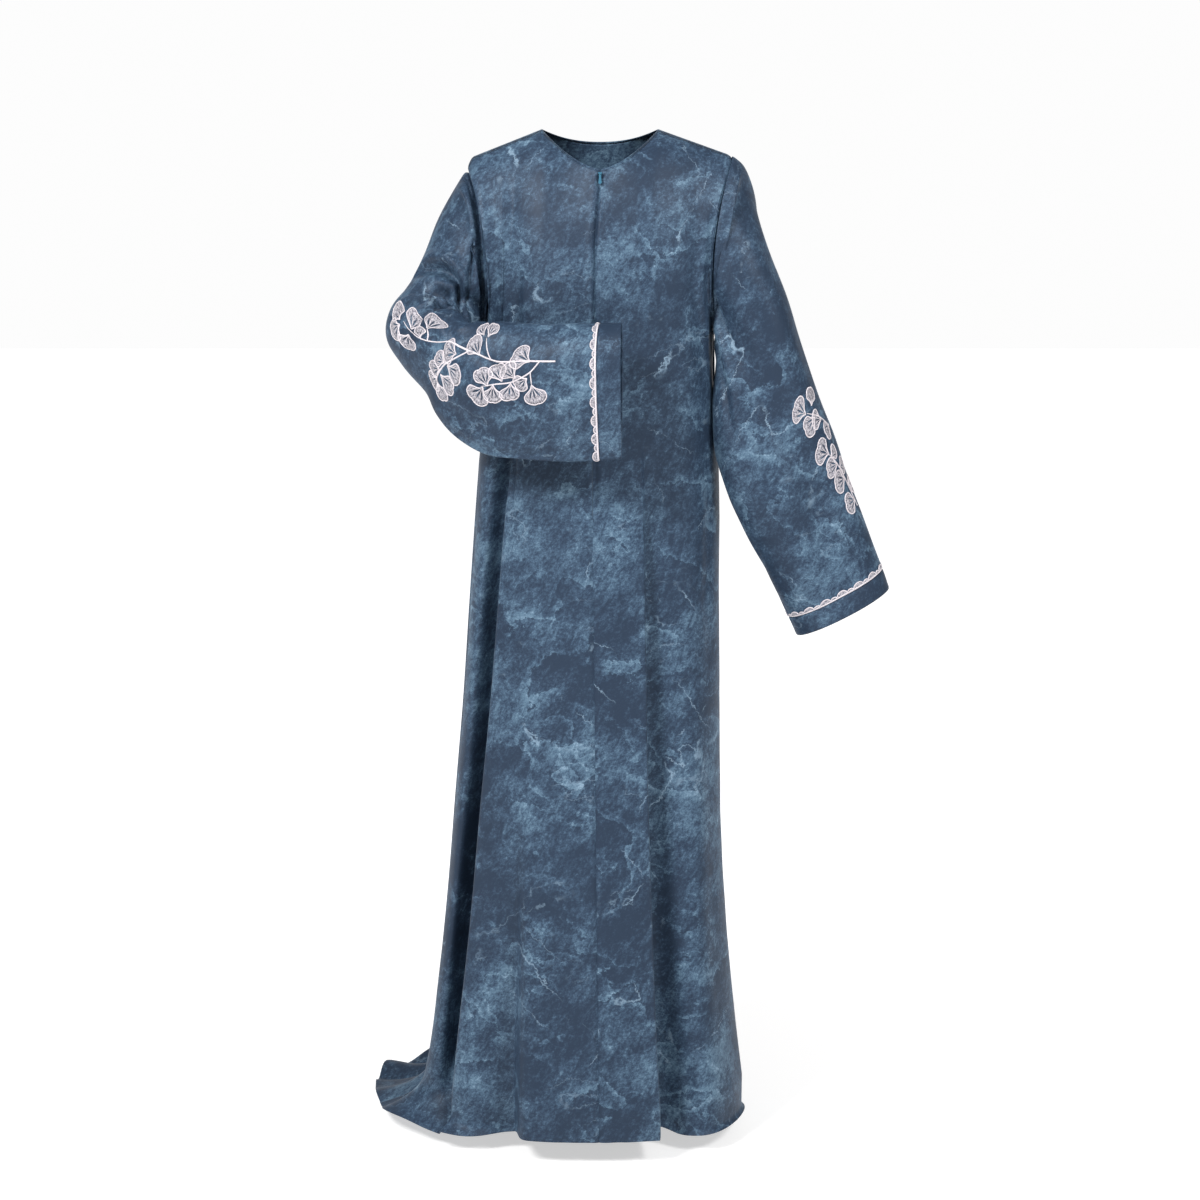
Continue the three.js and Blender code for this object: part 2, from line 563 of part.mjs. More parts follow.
// Each sleeve ends in a band, with the trim round it just above the band.
const ARMHOLE_EDGE = 0.04; // where the sleeve starts, in sections
for (const [side, sleeve, table, flip] of [
  ["right", sleeveRight, SLEEVE_RIGHT, true],
  ["left", sleeveLeft, SLEEVE_LEFT, false],
]) {
  const last = table.length - 1;
  const bandRow = last - 1; // the last section is one band deep
  const gap = SEAM / BAND;
  const strip = [bandRow - gap - TRIM.width / BAND, bandRow - gap];
  const rows = [ARMHOLE_EDGE, ...steps(1, bandRow - 1, bandRow - 2), ...strip];
  parted(rows, SLEEVE_PARTS.at[side], SLEEVE_PARTS.gap).forEach((vs, i) => {
    const name = `sleeve_${side}_${SLEEVE_PARTS.names[i]}`;
    add(name, sleeveTube(sleeve, vs, last, { flip }), CLOTH_FINISH);
  });
  add(`cuff_${side}`, sleeveTube(sleeve, [bandRow, last], last, { flip }), CLOTH_FINISH);
  const [thick, lift] = [TRIM.thick, TRIM.thick + SEAM];
  const trim = sleeveTube(sleeve, strip, last, { flip, thick, lift });
  add(`trim_${side}`, trim, THREAD_FINISH);
}

// The slider sits just below the V, on the slope of the chest, and the pull hangs along the cloth.
const zip = new THREE.Group();
const centreFront = -NECK_FRONT.drop - UNDERARM.z; // from the underarm's level up to the V
const zipUp = 1 - ZIP.below / centreFront;
const STEP = 0.01; // the share of it over which the slope is taken
const slope = front(0, -zipUp - STEP).sub(front(0, -zipUp + STEP));
zip.position.copy(front(0, -zipUp));
zip.rotation.x = Math.atan2(-slope.y, slope.z);
abaya.add(zip);
add("zip_slider", zipSlider(), ZIP_FINISH, zip);
add("zip_pull", zipPull(), ZIP_FINISH, zip);

export default abaya;
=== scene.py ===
# %% [markdown]
# # A printed abaya with embroidered sleeves
# This script dresses a floor-length abaya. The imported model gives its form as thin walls, and each
# cell below makes one piece of cloth, trim, embroidery or metal over them, in metres, +Z up, with
# the wearer's front towards -Y. We start by loading that model, because every piece has to lie on it.

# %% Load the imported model
import math

import bmesh
import bpy
import numpy as np
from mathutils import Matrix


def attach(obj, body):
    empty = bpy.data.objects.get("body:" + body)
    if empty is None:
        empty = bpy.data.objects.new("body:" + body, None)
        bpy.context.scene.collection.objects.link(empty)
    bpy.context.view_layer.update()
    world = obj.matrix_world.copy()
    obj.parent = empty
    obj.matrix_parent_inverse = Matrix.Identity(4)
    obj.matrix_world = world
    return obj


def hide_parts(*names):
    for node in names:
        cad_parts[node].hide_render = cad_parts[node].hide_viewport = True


def new_object(name, data):
    made = bpy.data.objects.new(name, data)
    bpy.context.scene.collection.objects.link(made)
    return made


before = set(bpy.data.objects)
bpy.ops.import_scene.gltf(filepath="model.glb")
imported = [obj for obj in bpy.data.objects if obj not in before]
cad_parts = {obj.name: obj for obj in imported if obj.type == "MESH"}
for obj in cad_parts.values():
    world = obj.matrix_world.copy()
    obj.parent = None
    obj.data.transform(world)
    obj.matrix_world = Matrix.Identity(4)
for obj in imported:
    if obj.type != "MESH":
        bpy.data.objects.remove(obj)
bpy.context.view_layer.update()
MM = 0.001

# %% [markdown]
# ## The camera
# It stands four metres in front, level with the base of the neck, and looks down by about eleven
# degrees, so that we see a little of the floor behind the hem. A long lens keeps the sleeves in
# proportion. It comes first, so that each piece can be looked at as it is made.

# %% Camera
CAMERA = {"far": 4.0, "up": 0.075, "pitch": 10.77, "lens": 82.8, "sensor": 36.0}
camera = new_object("camera", bpy.data.cameras.new("camera"))
camera.data.lens = CAMERA["lens"]
camera.data.sensor_width = CAMERA["sensor"]
camera.location = (0, -CAMERA["far"], CAMERA["up"])
camera.rotation_euler = (math.radians(90 - CAMERA["pitch"]), 0, 0)
bpy.context.scene.camera = camera
print("camera looks down by", CAMERA["pitch"], "degrees")

# %% [markdown]
# ## Sizes and short tables
# A garment is easiest to describe as a maker would: how far it reaches at each level, where its
# folds hang, and how much cloth each part of the hem has. All of these are in millimetres and
# degrees. A smooth curve through the rows of each table gives every point between them.

# %% Tables and the curve through them
def table(columns, rows):
    """A short table, as an array for each of its named columns."""
    return dict(zip(columns.split(), np.array(rows, float).T))


def read(tab, at, by=None):
    """Every column of a table at the places in at, on a smooth curve through its rows."""
    count = len(next(iter(tab.values())))
    place = tab[by] if by else np.arange(count, dtype=float)
    sign = np.sign(place[-1] - place[0])
    at = np.asarray(at, float)
    i = np.clip(np.searchsorted(place * sign, at * sign) - 1, 0, count - 2)
    h = place[i + 1] - place[i]
    t = np.clip((at - place[i]) / h, 0, 1)
    low, high = np.maximum(np.arange(count) - 1, 0), np.minimum(np.arange(count) + 1, count - 1)
    out = {}
    for key, column in tab.items():
        slope = (column[high] - column[low]) / (place[high] - place[low])
        p, q, m, n = column[i], column[i + 1], slope[i] * h, slope[i + 1] * h
        out[key] = p + t * (m + t * (3 * (q - p) - 2 * m - n + t * (2 * (p - q) + m + n)))
    return out


def smooth(t):
    x = np.clip(t, 0, 1)
    return x * x * (3 - 2 * x)


def wrap(degrees):
    return degrees - 360 * np.round(degrees / 360)


def signed_power(x, p):
    return np.sign(x) * np.abs(x) ** p


def unit(v):
    return v / np.maximum(np.linalg.norm(v, axis=-1, keepdims=True), 1e-9)


# %% Sizes of the body
FLOOR = -1485
NECK_HALF = 83
NECK_FRONT = {"drop": 54, "reach": 88, "curve": 1.6}
NECK_BACK = {"drop": 20, "reach": 62, "curve": 2.2}
SHOULDER = {"half": 190, "right": 42, "left": 38}
ROUNDED = 13  # mm the right shoulder turns down over its last centimetre
UNDERARM = -290
ARMHOLE = {"reach": 68, "bow": 0.085, "turn": 3}
FALL_TOP = -1400
NECK_SHARE = 6 / 17
RING_POWER = 2.35
RINGS = table("z right left front back", [
    (-290, 165, 165, 125, 102),
    (-400, 169, 168, 128, 97),
    (-500, 178, 174, 132, 101),
    (-690, 194, 177, 146, 130),
    (-850, 206, 180, 160, 153),
    (-1000, 221, 185, 175, 175),
    (-1150, 236, 193, 191, 197),
    (-1300, 252, 207, 207, 219),
    (-1400, 261, 219, 218, 233),
])

# %% The hanging folds and the hem
# A fold starts at a level and hangs to the hem. low and high are its widths on its two sides, in
# degrees round the body, and a narrow side looks sharp. depth is how deep it is at the hem, and a
# low growth means that it deepens early.
FOLDS = table("start top hem low high depth growth", [
    (-380, -44.6, -56.6, 10, 0.8, 90, 0.42),
    (-480, -82, -88, 5, 4, 24, 0.8),
    (-940, -30, -27, 16, 3.2, 50, 1.1),
    (-440, 19.5, 22, 0.9, 14, 70, 0.8),
    (-560, 92, 98, 11, 9, 44, 1.15),
    (-480, 126, 131, 12, 12, 50, 1.15),
    (-520, 168, 166, 13, 9, 46, 1.15),
    (-460, -154, -156, 9, 13, 52, 1.15),
    (-620, -122, -123, 7, 5, 48, 1.15),
    (-760, -108, -108, 4, 4, 36, 1.15),
    (-1000, -99, -99, 4, 3, 14, 1.15),
])
FOLD_FULL, FLOOR_LIFT, FOLD_DEEPEST = -1440, 0.5, 50
FRONT_END, FRONT_FADE = 84, 24
EASED = {"angle": -62, "wide": 17, "level": -1350, "over": 110, "share": 0.8}
FLARE = {"angle": -84, "wide": 13, "level": -1290, "out": 24}
SHARP, FOLLOW_WIDE, FOLLOW_FADE, UNDERCUT = 1, 22, 130, 0.17
HEM = table("angle drop bend", [
    (-180, 135, 40), (-150, 145, 46), (-130, 156, 70), (-118, 166, 84), (-107, 154, 84),
    (-97, 130, 84), (-88, 106, 84), (-76, 92, 80), (-62, 86, 62), (-48, 76, 46), (-30, 56, 42),
    (0, 47, 40), (18, 48, 40), (34, 62, 40), (84, 66, 40), (110, 74, 40), (145, 112, 40),
    (180, 135, 40),
])
print("folds:", len(FOLDS["depth"]), "longest hem:", HEM["drop"].max(), "mm")

# %% [markdown]
# ## The body as a surface
# The skirt and waist are rounded rings, one for each level, with the folds pressed into them. Below
# the last level each column of cloth falls by its own length: straight down, round a bend, and then
# along the floor, which is how a train forms. The chest is a second surface that runs from the
# underarm up to the shoulder seam and the neckline, and turns squarely in at the armhole.

# %% The skirt
def fold_depth(angle, z):
    depth = np.zeros(np.broadcast(angle, z).shape)
    for i in range(len(FOLDS["depth"])):
        start, top, hem, low, high, deep, growth = (FOLDS[k][i] for k in FOLDS)
        grown = np.clip((start - z) / (start - FOLD_FULL), 0, 1)
        away = wrap(angle - (top + (hem - top) * grown))
        depth += deep * grown**growth * np.exp(-((away / np.where(away < 0, low, high)) ** 2))
    return depth


def following(angle, z):
    """The columns follow the sharp folds, so that an edge never crosses from one to the next."""
    moved = angle
    for i in np.flatnonzero(np.minimum(FOLDS["low"], FOLDS["high"]) < SHARP):
        start, top, hem = (FOLDS[k][i] for k in ("start", "top", "hem"))
        left = 1 - np.clip((start - z) / (start - FOLD_FULL), 0, 1)
        near = np.exp(-((wrap(angle - hem) / FOLLOW_WIDE) ** 2))
        moved = moved + (top - hem) * left * near * smooth((UNDERARM - z) / FOLLOW_FADE)
    return moved


def skirt(turned, row):
    """Points from row 0 at the underarm to 1 at FALL_TOP and 2 at the hem."""
    angle = wrap(np.asarray(turned, float))
    hem = read(HEM, angle, "angle")
    fall, bend = np.clip(row - 1, 0, 1) * hem["drop"], hem["bend"]
    z = UNDERARM + (FALL_TOP - UNDERARM) * np.minimum(row, 1)
    angle = following(angle, z - fall)
    ring = read(RINGS, z, "z")
    half = np.where(angle > 0, ring["left"], ring["right"])
    deep = np.where(np.abs(angle) < 90, ring["front"], ring["back"])
    s, c = np.sin(np.radians(angle)), np.cos(np.radians(angle))
    x = half * signed_power(s, 2 / RING_POWER)
    y = -deep * signed_power(c, 2 / RING_POWER)
    out = unit(np.stack([x / half**2, y / deep**2], -1))
    straight = FALL_TOP - FLOOR - bend
    turn = np.clip((fall - straight) / bend, 0, math.pi / 2)
    along = np.maximum(0, fall - straight - bend * math.pi / 2)
    reach = bend * (1 - np.cos(turn)) + along
    drop = np.minimum(fall, straight) + bend * np.sin(turn)
    flared = np.clip((FLARE["level"] - z + drop) / (FLARE["level"] - FLOOR), 0, 1) ** 2
    beside = np.exp(-((wrap(angle - FLARE["angle"]) / FLARE["wide"]) ** 2))
    reach = reach + FLARE["out"] * flared * beside
    depth = fold_depth(angle, z - drop)
    near = np.exp(-((wrap(angle - EASED["angle"]) / EASED["wide"]) ** 2))
    eased = near * smooth((EASED["level"] - z + drop) / EASED["over"])
    depth = depth * (1 - EASED["share"] * eased)
    lift = np.sin(turn) * (FLOOR_LIFT * (FOLD_DEEPEST - np.minimum(depth, FOLD_DEEPEST)) + 1.5)
    # In front a fold is pressed back and in under its lip, and elsewhere square to the surface.
    ahead = smooth((FRONT_END - np.abs(angle)) / FRONT_FADE)[..., None]
    under = np.stack([UNDERCUT * np.clip(angle / 10, -1, 1), -np.ones(angle.shape)], -1)
    press = unit(out * (1 - ahead) + under * ahead)
    shift = out * reach[..., None] - press * (depth * np.cos(turn))[..., None]
    return np.stack([x + shift[..., 0], y + shift[..., 1], z - drop + lift], -1)


# %% The chest and the two faces of the body
def columns_along(start, end, steps=240):
    """The angles of a quarter's columns, spaced evenly along the hem, as threads of cloth are."""
    angles = np.linspace(start, end, steps + 1)
    walk = np.linalg.norm(np.diff(skirt(angles, np.ones(steps + 1)), axis=0), axis=1)
    far = np.concatenate([[0], np.cumsum(walk)])
    return lambda share: np.interp(share * far[-1], far, angles)


def make_face(centre, left, right, neck, deep):
    """A face of the body: across is -1 at the right side seam and 1 at the left one."""
    to_left, to_right = columns_along(centre, left), columns_along(centre, right)
    facing = -1 if deep < 0 else 1

    def angle_of(across):
        share = np.abs(across)
        return np.where(across < 0, to_right(share), to_left(share))

    def top(across):
        share, side = np.abs(across), np.sign(across)
        t = np.clip(share / NECK_SHARE, 0, 1)
        rise = 1 - t ** neck["curve"]
        t2 = (share - NECK_SHARE) / (1 - NECK_SHARE)
        on_neck = share < NECK_SHARE
        x = side * np.where(on_neck, NECK_HALF * t, NECK_HALF + (SHOULDER["half"] - NECK_HALF) * t2)
        y = np.where(on_neck, facing * neck["reach"] * rise, 0)
        end = np.where(across < 0, SHOULDER["right"], SHOULDER["left"]) * t2
        end = end + np.where(across < 0, ROUNDED, 3) * np.clip((t2 - 0.91) / 0.09, 0, 1) ** 2
        z = np.where(on_neck, -neck["drop"] * rise, -end)
        return np.stack([x, y, z], -1)

    def chest(across, up):
        low, high = skirt(angle_of(across), np.zeros_like(up)), top(across)
        turn = ARMHOLE["turn"]
        beside = 1 - np.abs(low[..., 1] / deep) ** turn
        hollow = 2 * np.sqrt(np.clip(up * (1 - up), 0, 1))
        x = low[..., 0] + (high[..., 0] - low[..., 0]) * up
        x = x * (1 - ARMHOLE["bow"] * beside**turn * hollow**2)
        roundness = 1 - 0.5 * smooth(np.abs(across) / NECK_SHARE)
        share = np.clip(1 - up**2, 0, 1) ** roundness
        y = np.abs(high[..., 1] + (low[..., 1] - high[..., 1]) * share)
        out = (y**turn + beside * (ARMHOLE["reach"] * hollow) ** turn) ** (1 / turn)
        return np.stack([x, facing * out, low[..., 2] + (high[..., 2] - low[..., 2]) * up], -1)

    def face(across, row):
        across, row = np.broadcast_arrays(np.asarray(across, float), np.asarray(row, float))
        above = chest(across, np.clip(-row, 0, 1))
        below = skirt(angle_of(across), np.clip(row, 0, 2))
        return np.where((row < 0)[..., None], above, below)

    return face


front = make_face(0, 90, -90, NECK_FRONT, -RINGS["front"][0])
back = make_face(180, 90, 270, NECK_BACK, RINGS["back"][0])
print("bottom of the V:", front(0, -1).round(1), "hem:", front(0, 2).round(1))

# %% [markdown]
# ## The sleeves as surfaces
# Each sleeve is a row of sections from the armhole to the cuff. A section is given by its edge over
# the shoulder and elbow, its edge under the arm, and half its depth from front to back. The right
# arm is bent across the waist, so its cloth gathers in folds at the elbow. The left one hangs.

# %% The sleeves' sections and their largest folds
SECTIONS = "outX outY outZ inX inY inZ half slack"
SLEEVE_RIGHT = table(SECTIONS, [
    (-188, 0, -55, -165, 0, -290, 68, 0),
    (-200, 2, -71, -174, -6, -297, 70, 0),
    (-229, 3, -122, -178, -26, -308, 70, 0),
    (-254, 2, -180, -179, -50, -309, 66, 0.1),
    (-280, -3, -236, -177, -74, -300, 62, 0.2),
    (-303, -14, -272, -174, -92, -290, 58, 0.2),
    (-303, -34, -304, -168, -104, -280, 54, 0.2),
    (-280, -58, -336, -163, -113, -272, 50, 0.3),
    (-247, -86, -368, -156, -122, -267, 46, 0.4),
    (-232, -108, -398, -147, -131, -265, 43, 0.5),
    (-202, -134, -428, -134, -141, -264, 41, 0.6),
    (-160, -160, -447, -113, -153, -264, 39, 0.6),
    (-110, -181, -452, -82, -166, -264, 38, 0.6),
    (-55, -196, -452, -43, -180, -263, 37, 0.6),
    (0, -204, -450, 0, -189, -262, 36, 0.6),
    (30, -206, -448, 30, -191, -260, 36, 0.6),
])
SLEEVE_LEFT = table(SECTIONS, [
    (190, 0, -38, 165, 0, -290, 68, 0),
    (209, 0, -58, 171, -8, -300, 70, 0),
    (222, 1, -108, 168, -26, -328, 70, -0.1),
    (239, 1, -164, 164, -45, -363, 68, -0.25),
    (257, 0, -220, 163, -58, -400, 66, -0.3),
    (278, -2, -282, 165, -66, -438, 64, -0.3),
    (300, -5, -344, 172, -72, -478, 62, -0.2),
    (322, -9, -400, 187, -72, -522, 61, -0.1),
    (344, -14, -456, 205, -67, -562, 60, 0),
    (365, -19, -512, 228, -60, -606, 58, 0),
    (387, -24, -568, 252, -54, -652, 56, 0),
    (411, -28, -632, 276, -48, -702, 54, 0),
    (423, -30, -660, 288, -46, -729, 54, 0),
])
TROUGH = "row around long wide skew depth"
TROUGHS_RIGHT = table(TROUGH, [
    (2.4, 116, 1.9, 15, -16, 15),
    (4.3, 132, 1.3, 17, -26, 17),
    (5.6, 96, 1.1, 15, -24, 12),
    (3.2, -118, 2.2, 20, 12, 14),
    (6.3, -128, 1.8, 18, 10, 13),
    (10.2, 128, 2.2, 20, 7, 9),
])
TROUGHS_LEFT = table(TROUGH, [
    (4.6, 104, 3.2, 16, -5, 13),
    (1.6, 128, 1.6, 14, -6, 12),
    (5.2, -112, 3.4, 18, 5, 14),
    (9.2, 84, 1.9, 18, 4, 8),
])


# %% A point of a sleeve
def make_sleeve(sections, troughs):
    """row counts the sections, and around is the angle from the out edge, over the front."""
    last = len(sections["half"]) - 1
    turned = -1 if sections["outX"][0] > 0 else 1

    def edges(row):
        here = read(sections, row)
        out = np.stack([here["outX"], here["outY"], here["outZ"]], -1)
        inner = np.stack([here["inX"], here["inY"], here["inZ"]], -1)
        return here, (out + inner) / 2, (out - inner) / 2

    def sleeve(row, around):
        row, around = np.broadcast_arrays(np.asarray(row, float), np.asarray(around, float))
        here, middle, edge = edges(row)
        along = edges(np.minimum(row + 0.5, last))[1] - edges(np.maximum(row - 0.5, 0))[1]
        forward = unit(np.cross(edge, along)) * turned
        straight = (1 - smooth(row / 2))[..., None]
        forward = unit(forward * (1 - straight) + np.array([0, -1, 0]) * straight)
        c, s = np.cos(np.radians(around)), np.sin(np.radians(around))
        depth = np.zeros(row.shape)
        for i in range(len(troughs["row"])):
            at, angle, length, wide, skew, deep = (troughs[k][i] for k in troughs)
            turn = wrap(around - angle - skew * (row - at))
            depth += deep * np.exp(-(((row - at) / length) ** 2) - (turn / wide) ** 2)
        size = np.linalg.norm(edge, axis=-1)
        shrink = 1 - depth * smooth(row) / np.hypot(size * c, here["half"] * s)
        front_share = here["half"] * s * (1 - here["slack"] * c) * shrink
        point = middle + edge * (c * shrink)[..., None] + forward * front_share[..., None]
        point[..., 0] *= 1 - ARMHOLE["bow"] * (1 - smooth(row)) * s**2
        return point

    return sleeve


sleeve_right = make_sleeve(SLEEVE_RIGHT, TROUGHS_RIGHT)
sleeve_left = make_sleeve(SLEEVE_LEFT, TROUGHS_LEFT)
print("right cuff:", sleeve_right(15, 0).round(1), "left cuff:", sleeve_left(12, 0).round(1))

# %% [markdown]
# ## Creases
# Cloth never hangs perfectly smooth. A crease here is a line drawn on the cloth, the widths of its
# two flanks, and how deep it is pressed in: a negative depth makes a ridge. One flank is often
# steeper than the other, as it is where cloth rolls over itself, and each crease fades out at both
# ends. The lines wander a little, so that they don't look ruled.

# %% Creases pressed along lines
def wander(x, y):
    """A small drift of the chart, so that straight lines on it come out slightly bent."""
    dx = 2.4 * np.sin(y / 37 + 0.8) + 1.3 * np.sin(y / 14.3 + x / 61 + 2.1)
    dy = 2.1 * np.sin(x / 43 + 1.7) + 1.1 * np.sin(x / 17.1 - y / 57)
    return x + dx, y + dy


def pressed(x, y, creases):
    """How deep the creases are at places x, y of a chart in millimetres."""
    x, y = wander(x, y)
    depth = np.zeros(x.shape)
    for line, left, right, deep in creases:
        points = np.array(line, float)
        lengths = np.linalg.norm(np.diff(points, axis=0), axis=1)
        before = np.concatenate([[0], np.cumsum(lengths)])
        best = np.full(x.shape, np.inf)
        side, share = np.zeros(x.shape), np.zeros(x.shape)
        for k, length in enumerate(lengths):
            (ax, ay), (bx, by) = points[k], points[k + 1]
            ux, uy = (bx - ax) / length, (by - ay) / length
            t = np.clip((x - ax) * ux + (y - ay) * uy, 0, length)
            ox, oy = x - ax - t * ux, y - ay - t * uy
            far = np.hypot(ox, oy)
            near = far < best
            best = np.where(near, far, best)
            side = np.where(near, np.sign(ux * oy - uy * ox), side)
            share = np.where(near, (before[k] + t) / before[-1], share)
        fade = np.sin(math.pi * np.clip(share, 0.03, 0.97)) ** 0.6
        depth += deep * fade * np.exp(-((best / np.where(side > 0, right, left)) ** 2))
    return depth


# %% [markdown]
# ## Cloth pieces
# Every piece of cloth starts as a flat grid, like a piece of cloth on a table. Its points are then
# moved to the surface and pressed in by the creases. The grid's own threads, measured along the
# finished surface, become a UV map in metres. The print doesn't use it: a worn garment has no flat
# chart without gathers, so each point also carries its place in space, and the print is read there.
# It is then nowhere stretched, but it doesn't follow the threads. Solidify gives the thickness.

# %% A grid moved on to a surface
def grid_normals(points, closed):
    if closed:
        ring = np.concatenate([points[:, -2:-1], points, points[:, 1:2]], axis=1)
        across = (ring[:, 2:] - ring[:, :-2]) / 2
    else:
        across = np.gradient(points, axis=1)
    return unit(np.cross(across, np.gradient(points, axis=0)))


def lay_grid(name, points, uv, material, offset, flip, thick, closed=False):
    """A grid of points in millimetres as an object in metres. offset is its place on the print."""
    place = points[..., [0, 2, 1]] * MM + (*offset, 0)
    rows, columns = points.shape[:2]
    bm = bmesh.new()
    bmesh.ops.create_grid(bm, x_segments=columns - 1, y_segments=rows - 1, size=0.5)
    mesh = bpy.data.meshes.new(name)
    bm.to_mesh(mesh)
    flat = np.empty(len(mesh.vertices) * 3)
    mesh.vertices.foreach_get("co", flat)
    flat = flat.reshape(-1, 3)
    i = np.rint((flat[:, 0] + 0.5) * (columns - 1)).astype(int)
    j = np.rint((flat[:, 1] + 0.5) * (rows - 1)).astype(int)
    mesh.vertices.foreach_set("co", (points[j, i] * MM).ravel())
    corner = np.empty(len(mesh.loops), int)
    mesh.loops.foreach_get("vertex_index", corner)
    layer = mesh.uv_layers.new(name="cloth")
    layer.data.foreach_set("uv", uv[j[corner], i[corner]].ravel())
    layer = mesh.attributes.new("print_place", "FLOAT_VECTOR", "CORNER")
    layer.data.foreach_set("vector", place[j[corner], i[corner]].ravel())
    bm.clear()
    bm.from_mesh(mesh)
    if closed:
        bmesh.ops.remove_doubles(bm, verts=bm.verts, dist=1e-6)
    if flip:
        bmesh.ops.reverse_faces(bm, faces=bm.faces)
    for face in bm.faces:
        face.smooth = True
    bm.to_mesh(mesh)
    bm.free()
    mesh.materials.append(material)
    piece = new_object(name, mesh)
    wall = piece.modifiers.new("thickness", "SOLIDIFY")
    wall.thickness, wall.offset, wall.use_rim = thick * MM, -1, True
    print(f"{name}: {len(mesh.polygons)} faces")
    return piece


def thread_map(points, column, row, offset, even=False):
    """UV in metres: arc length across from one column, and down from one row. Where it is even,
    every column counts the same length down, as in a tube that is bent."""
    across = np.zeros(points.shape[:2])
    down = np.zeros(points.shape[:2])
    across[:, 1:] = np.cumsum(np.linalg.norm(np.diff(points, axis=1), axis=-1), axis=1)
    down[1:] = np.cumsum(np.linalg.norm(np.diff(points, axis=0), axis=-1), axis=0)
    if even:
        down[:] = down.mean(axis=1, keepdims=True)
    across -= across[:, column : column + 1]
    down -= down[row : row + 1]
    return np.stack([across * MM + offset[0], -down * MM + offset[1]], -1)


# %% Seams and hems
def from_edges(points):
    """Each point's distance to the four edges of its grid, along the cloth."""
    across = np.cumsum(np.linalg.norm(np.diff(points, axis=1), axis=-1), axis=1)
    down = np.cumsum(np.linalg.norm(np.diff(points, axis=0), axis=-1), axis=0)
    across = np.pad(across, ((0, 0), (1, 0)))
    down = np.pad(down, ((1, 0), (0, 0)))
    return {
        "start": across, "end": across[:, -1:] - across, "top": down, "foot": down[-1:] - down,
    }


def turned_in(points, edges):
    """How far the cloth dips where its edges turn in: edges gives a depth and a width for each."""
    far = from_edges(points)
    return sum(deep * np.exp(-((far[edge] / wide) ** 2)) for edge, (deep, wide) in edges.items())


def close_rows(start, end, count, near_start=(), near_end=()):
    """Even steps, with a few closer ones at either end, where an edge turns."""
    inner = np.linspace(start, end, count + 1)[1:-1]
    inner = inner[inner > start + max(near_start, default=0)]
    inner = inner[inner < end - max(near_end, default=0)]
    return np.concatenate([[start], start + np.array(near_start), inner,
                           end - np.array(near_end)[::-1], [end]])


# %% [markdown]
# ## The printed cloth
# The cloth is a soft woven polyester with a washed, cloudy print, like blue stone: patches of
# lighter and darker slate that run a little slantwise, a fine scratchy grain, and a few thin pale
# veins. We build it from layers of noise at the place that each point carries. A ridged noise,
# which is brightest where it crosses its middle value, makes the veins, and another breaks them up.

# %% Node helpers
def node(tree, kind, values=None, **settings):
    made = tree.nodes.new(kind)
    for key, value in settings.items():
        setattr(made, key, value)
    for key, value in (values or {}).items():
        if isinstance(value, bpy.types.NodeSocket):
            tree.links.new(value, made.inputs[key])
        else:
            made.inputs[key].default_value = value
    return made


def sums(tree, operation, *terms):
    made = node(tree, "ShaderNodeMath", operation=operation)
    for socket, term in zip(made.inputs, terms):
        if isinstance(term, bpy.types.NodeSocket):
            tree.links.new(term, socket)
        else:
            socket.default_value = term
    return made.outputs[0]


def plus(tree, base, term, share):
    """base + term * share"""
    return sums(tree, "ADD", base, sums(tree, "MULTIPLY", term, share))


def noise(tree, where, scale, detail=4.0, rough=0.55, warp=0.0,
          size=(1, 1, 1), turn=0.0, at=(0, 0, 0)):
    """Noise from 0 to 1, with size how fine it is along a line at turn degrees and across it."""
    placed = node(tree, "ShaderNodeMapping", {"Vector": where, "Location": at,
                  "Rotation": (0, 0, math.radians(turn)), "Scale": [1 / k for k in size]},
                  vector_type="TEXTURE")
    made = node(tree, "ShaderNodeTexNoise", {"Vector": placed.outputs[0], "Scale": scale,
                "Detail": detail, "Roughness": rough, "Distortion": warp})
    return made.outputs["Fac"]


def ramp(tree, value, low, high):
    """0 below low, 1 above high, and smooth between."""
    made = node(tree, "ShaderNodeMapRange", {"Value": value, "From Min": low, "From Max": high},
                interpolation_type="SMOOTHSTEP")
    return made.outputs["Result"]


def mixed(tree, share, first, second, blend="MIX"):
    made = node(tree, "ShaderNodeMix", data_type="RGBA", blend_type=blend)
    for socket, value in ((made.inputs[0], share), (made.inputs[6], first), (made.inputs[7], second)):
        if isinstance(value, bpy.types.NodeSocket):
            tree.links.new(value, socket)
        else:
            socket.default_value = value if isinstance(value, float) else (*value, 1)
    return made.outputs[2]


def new_material(name, values=None):
    """A material with one principled shader, set to the values."""
    material = bpy.data.materials.new(name)
    material.use_nodes = True
    tree = material.node_tree
    tree.nodes.clear()
    shader = node(tree, "ShaderNodeBsdfPrincipled", values)
    output = node(tree, "ShaderNodeOutputMaterial")
    tree.links.new(shader.outputs[0], output.inputs[0])
    return material, tree, shader


# %% The print
INK = {
    "deep": (0.016, 0.028, 0.050), "slate": (0.032, 0.057, 0.096), "light": (0.078, 0.134, 0.192),
    "vein": (0.18, 0.26, 0.34),
}
# scale, steps, degrees, place, where it starts and is full, strength
PLATES = ((4.2, 8.0, 12, (8, 3, 1), 0.46, 0.60, 0.17), (9.5, 6.0, -28, (2, 9, 6), 0.46, 0.60, 0.15))
# scale, length, width, strength, degrees, place
VEINS = (
    (3.0, 2.6, 0.0042, 0.85, 56, (1, 7, 3)), (4.2, 2.6, 0.0048, 0.7, -42, (6, 2, 8)),
    (7.5, 2.2, 0.008, 0.35, 14, (4, 9, 6)),
)


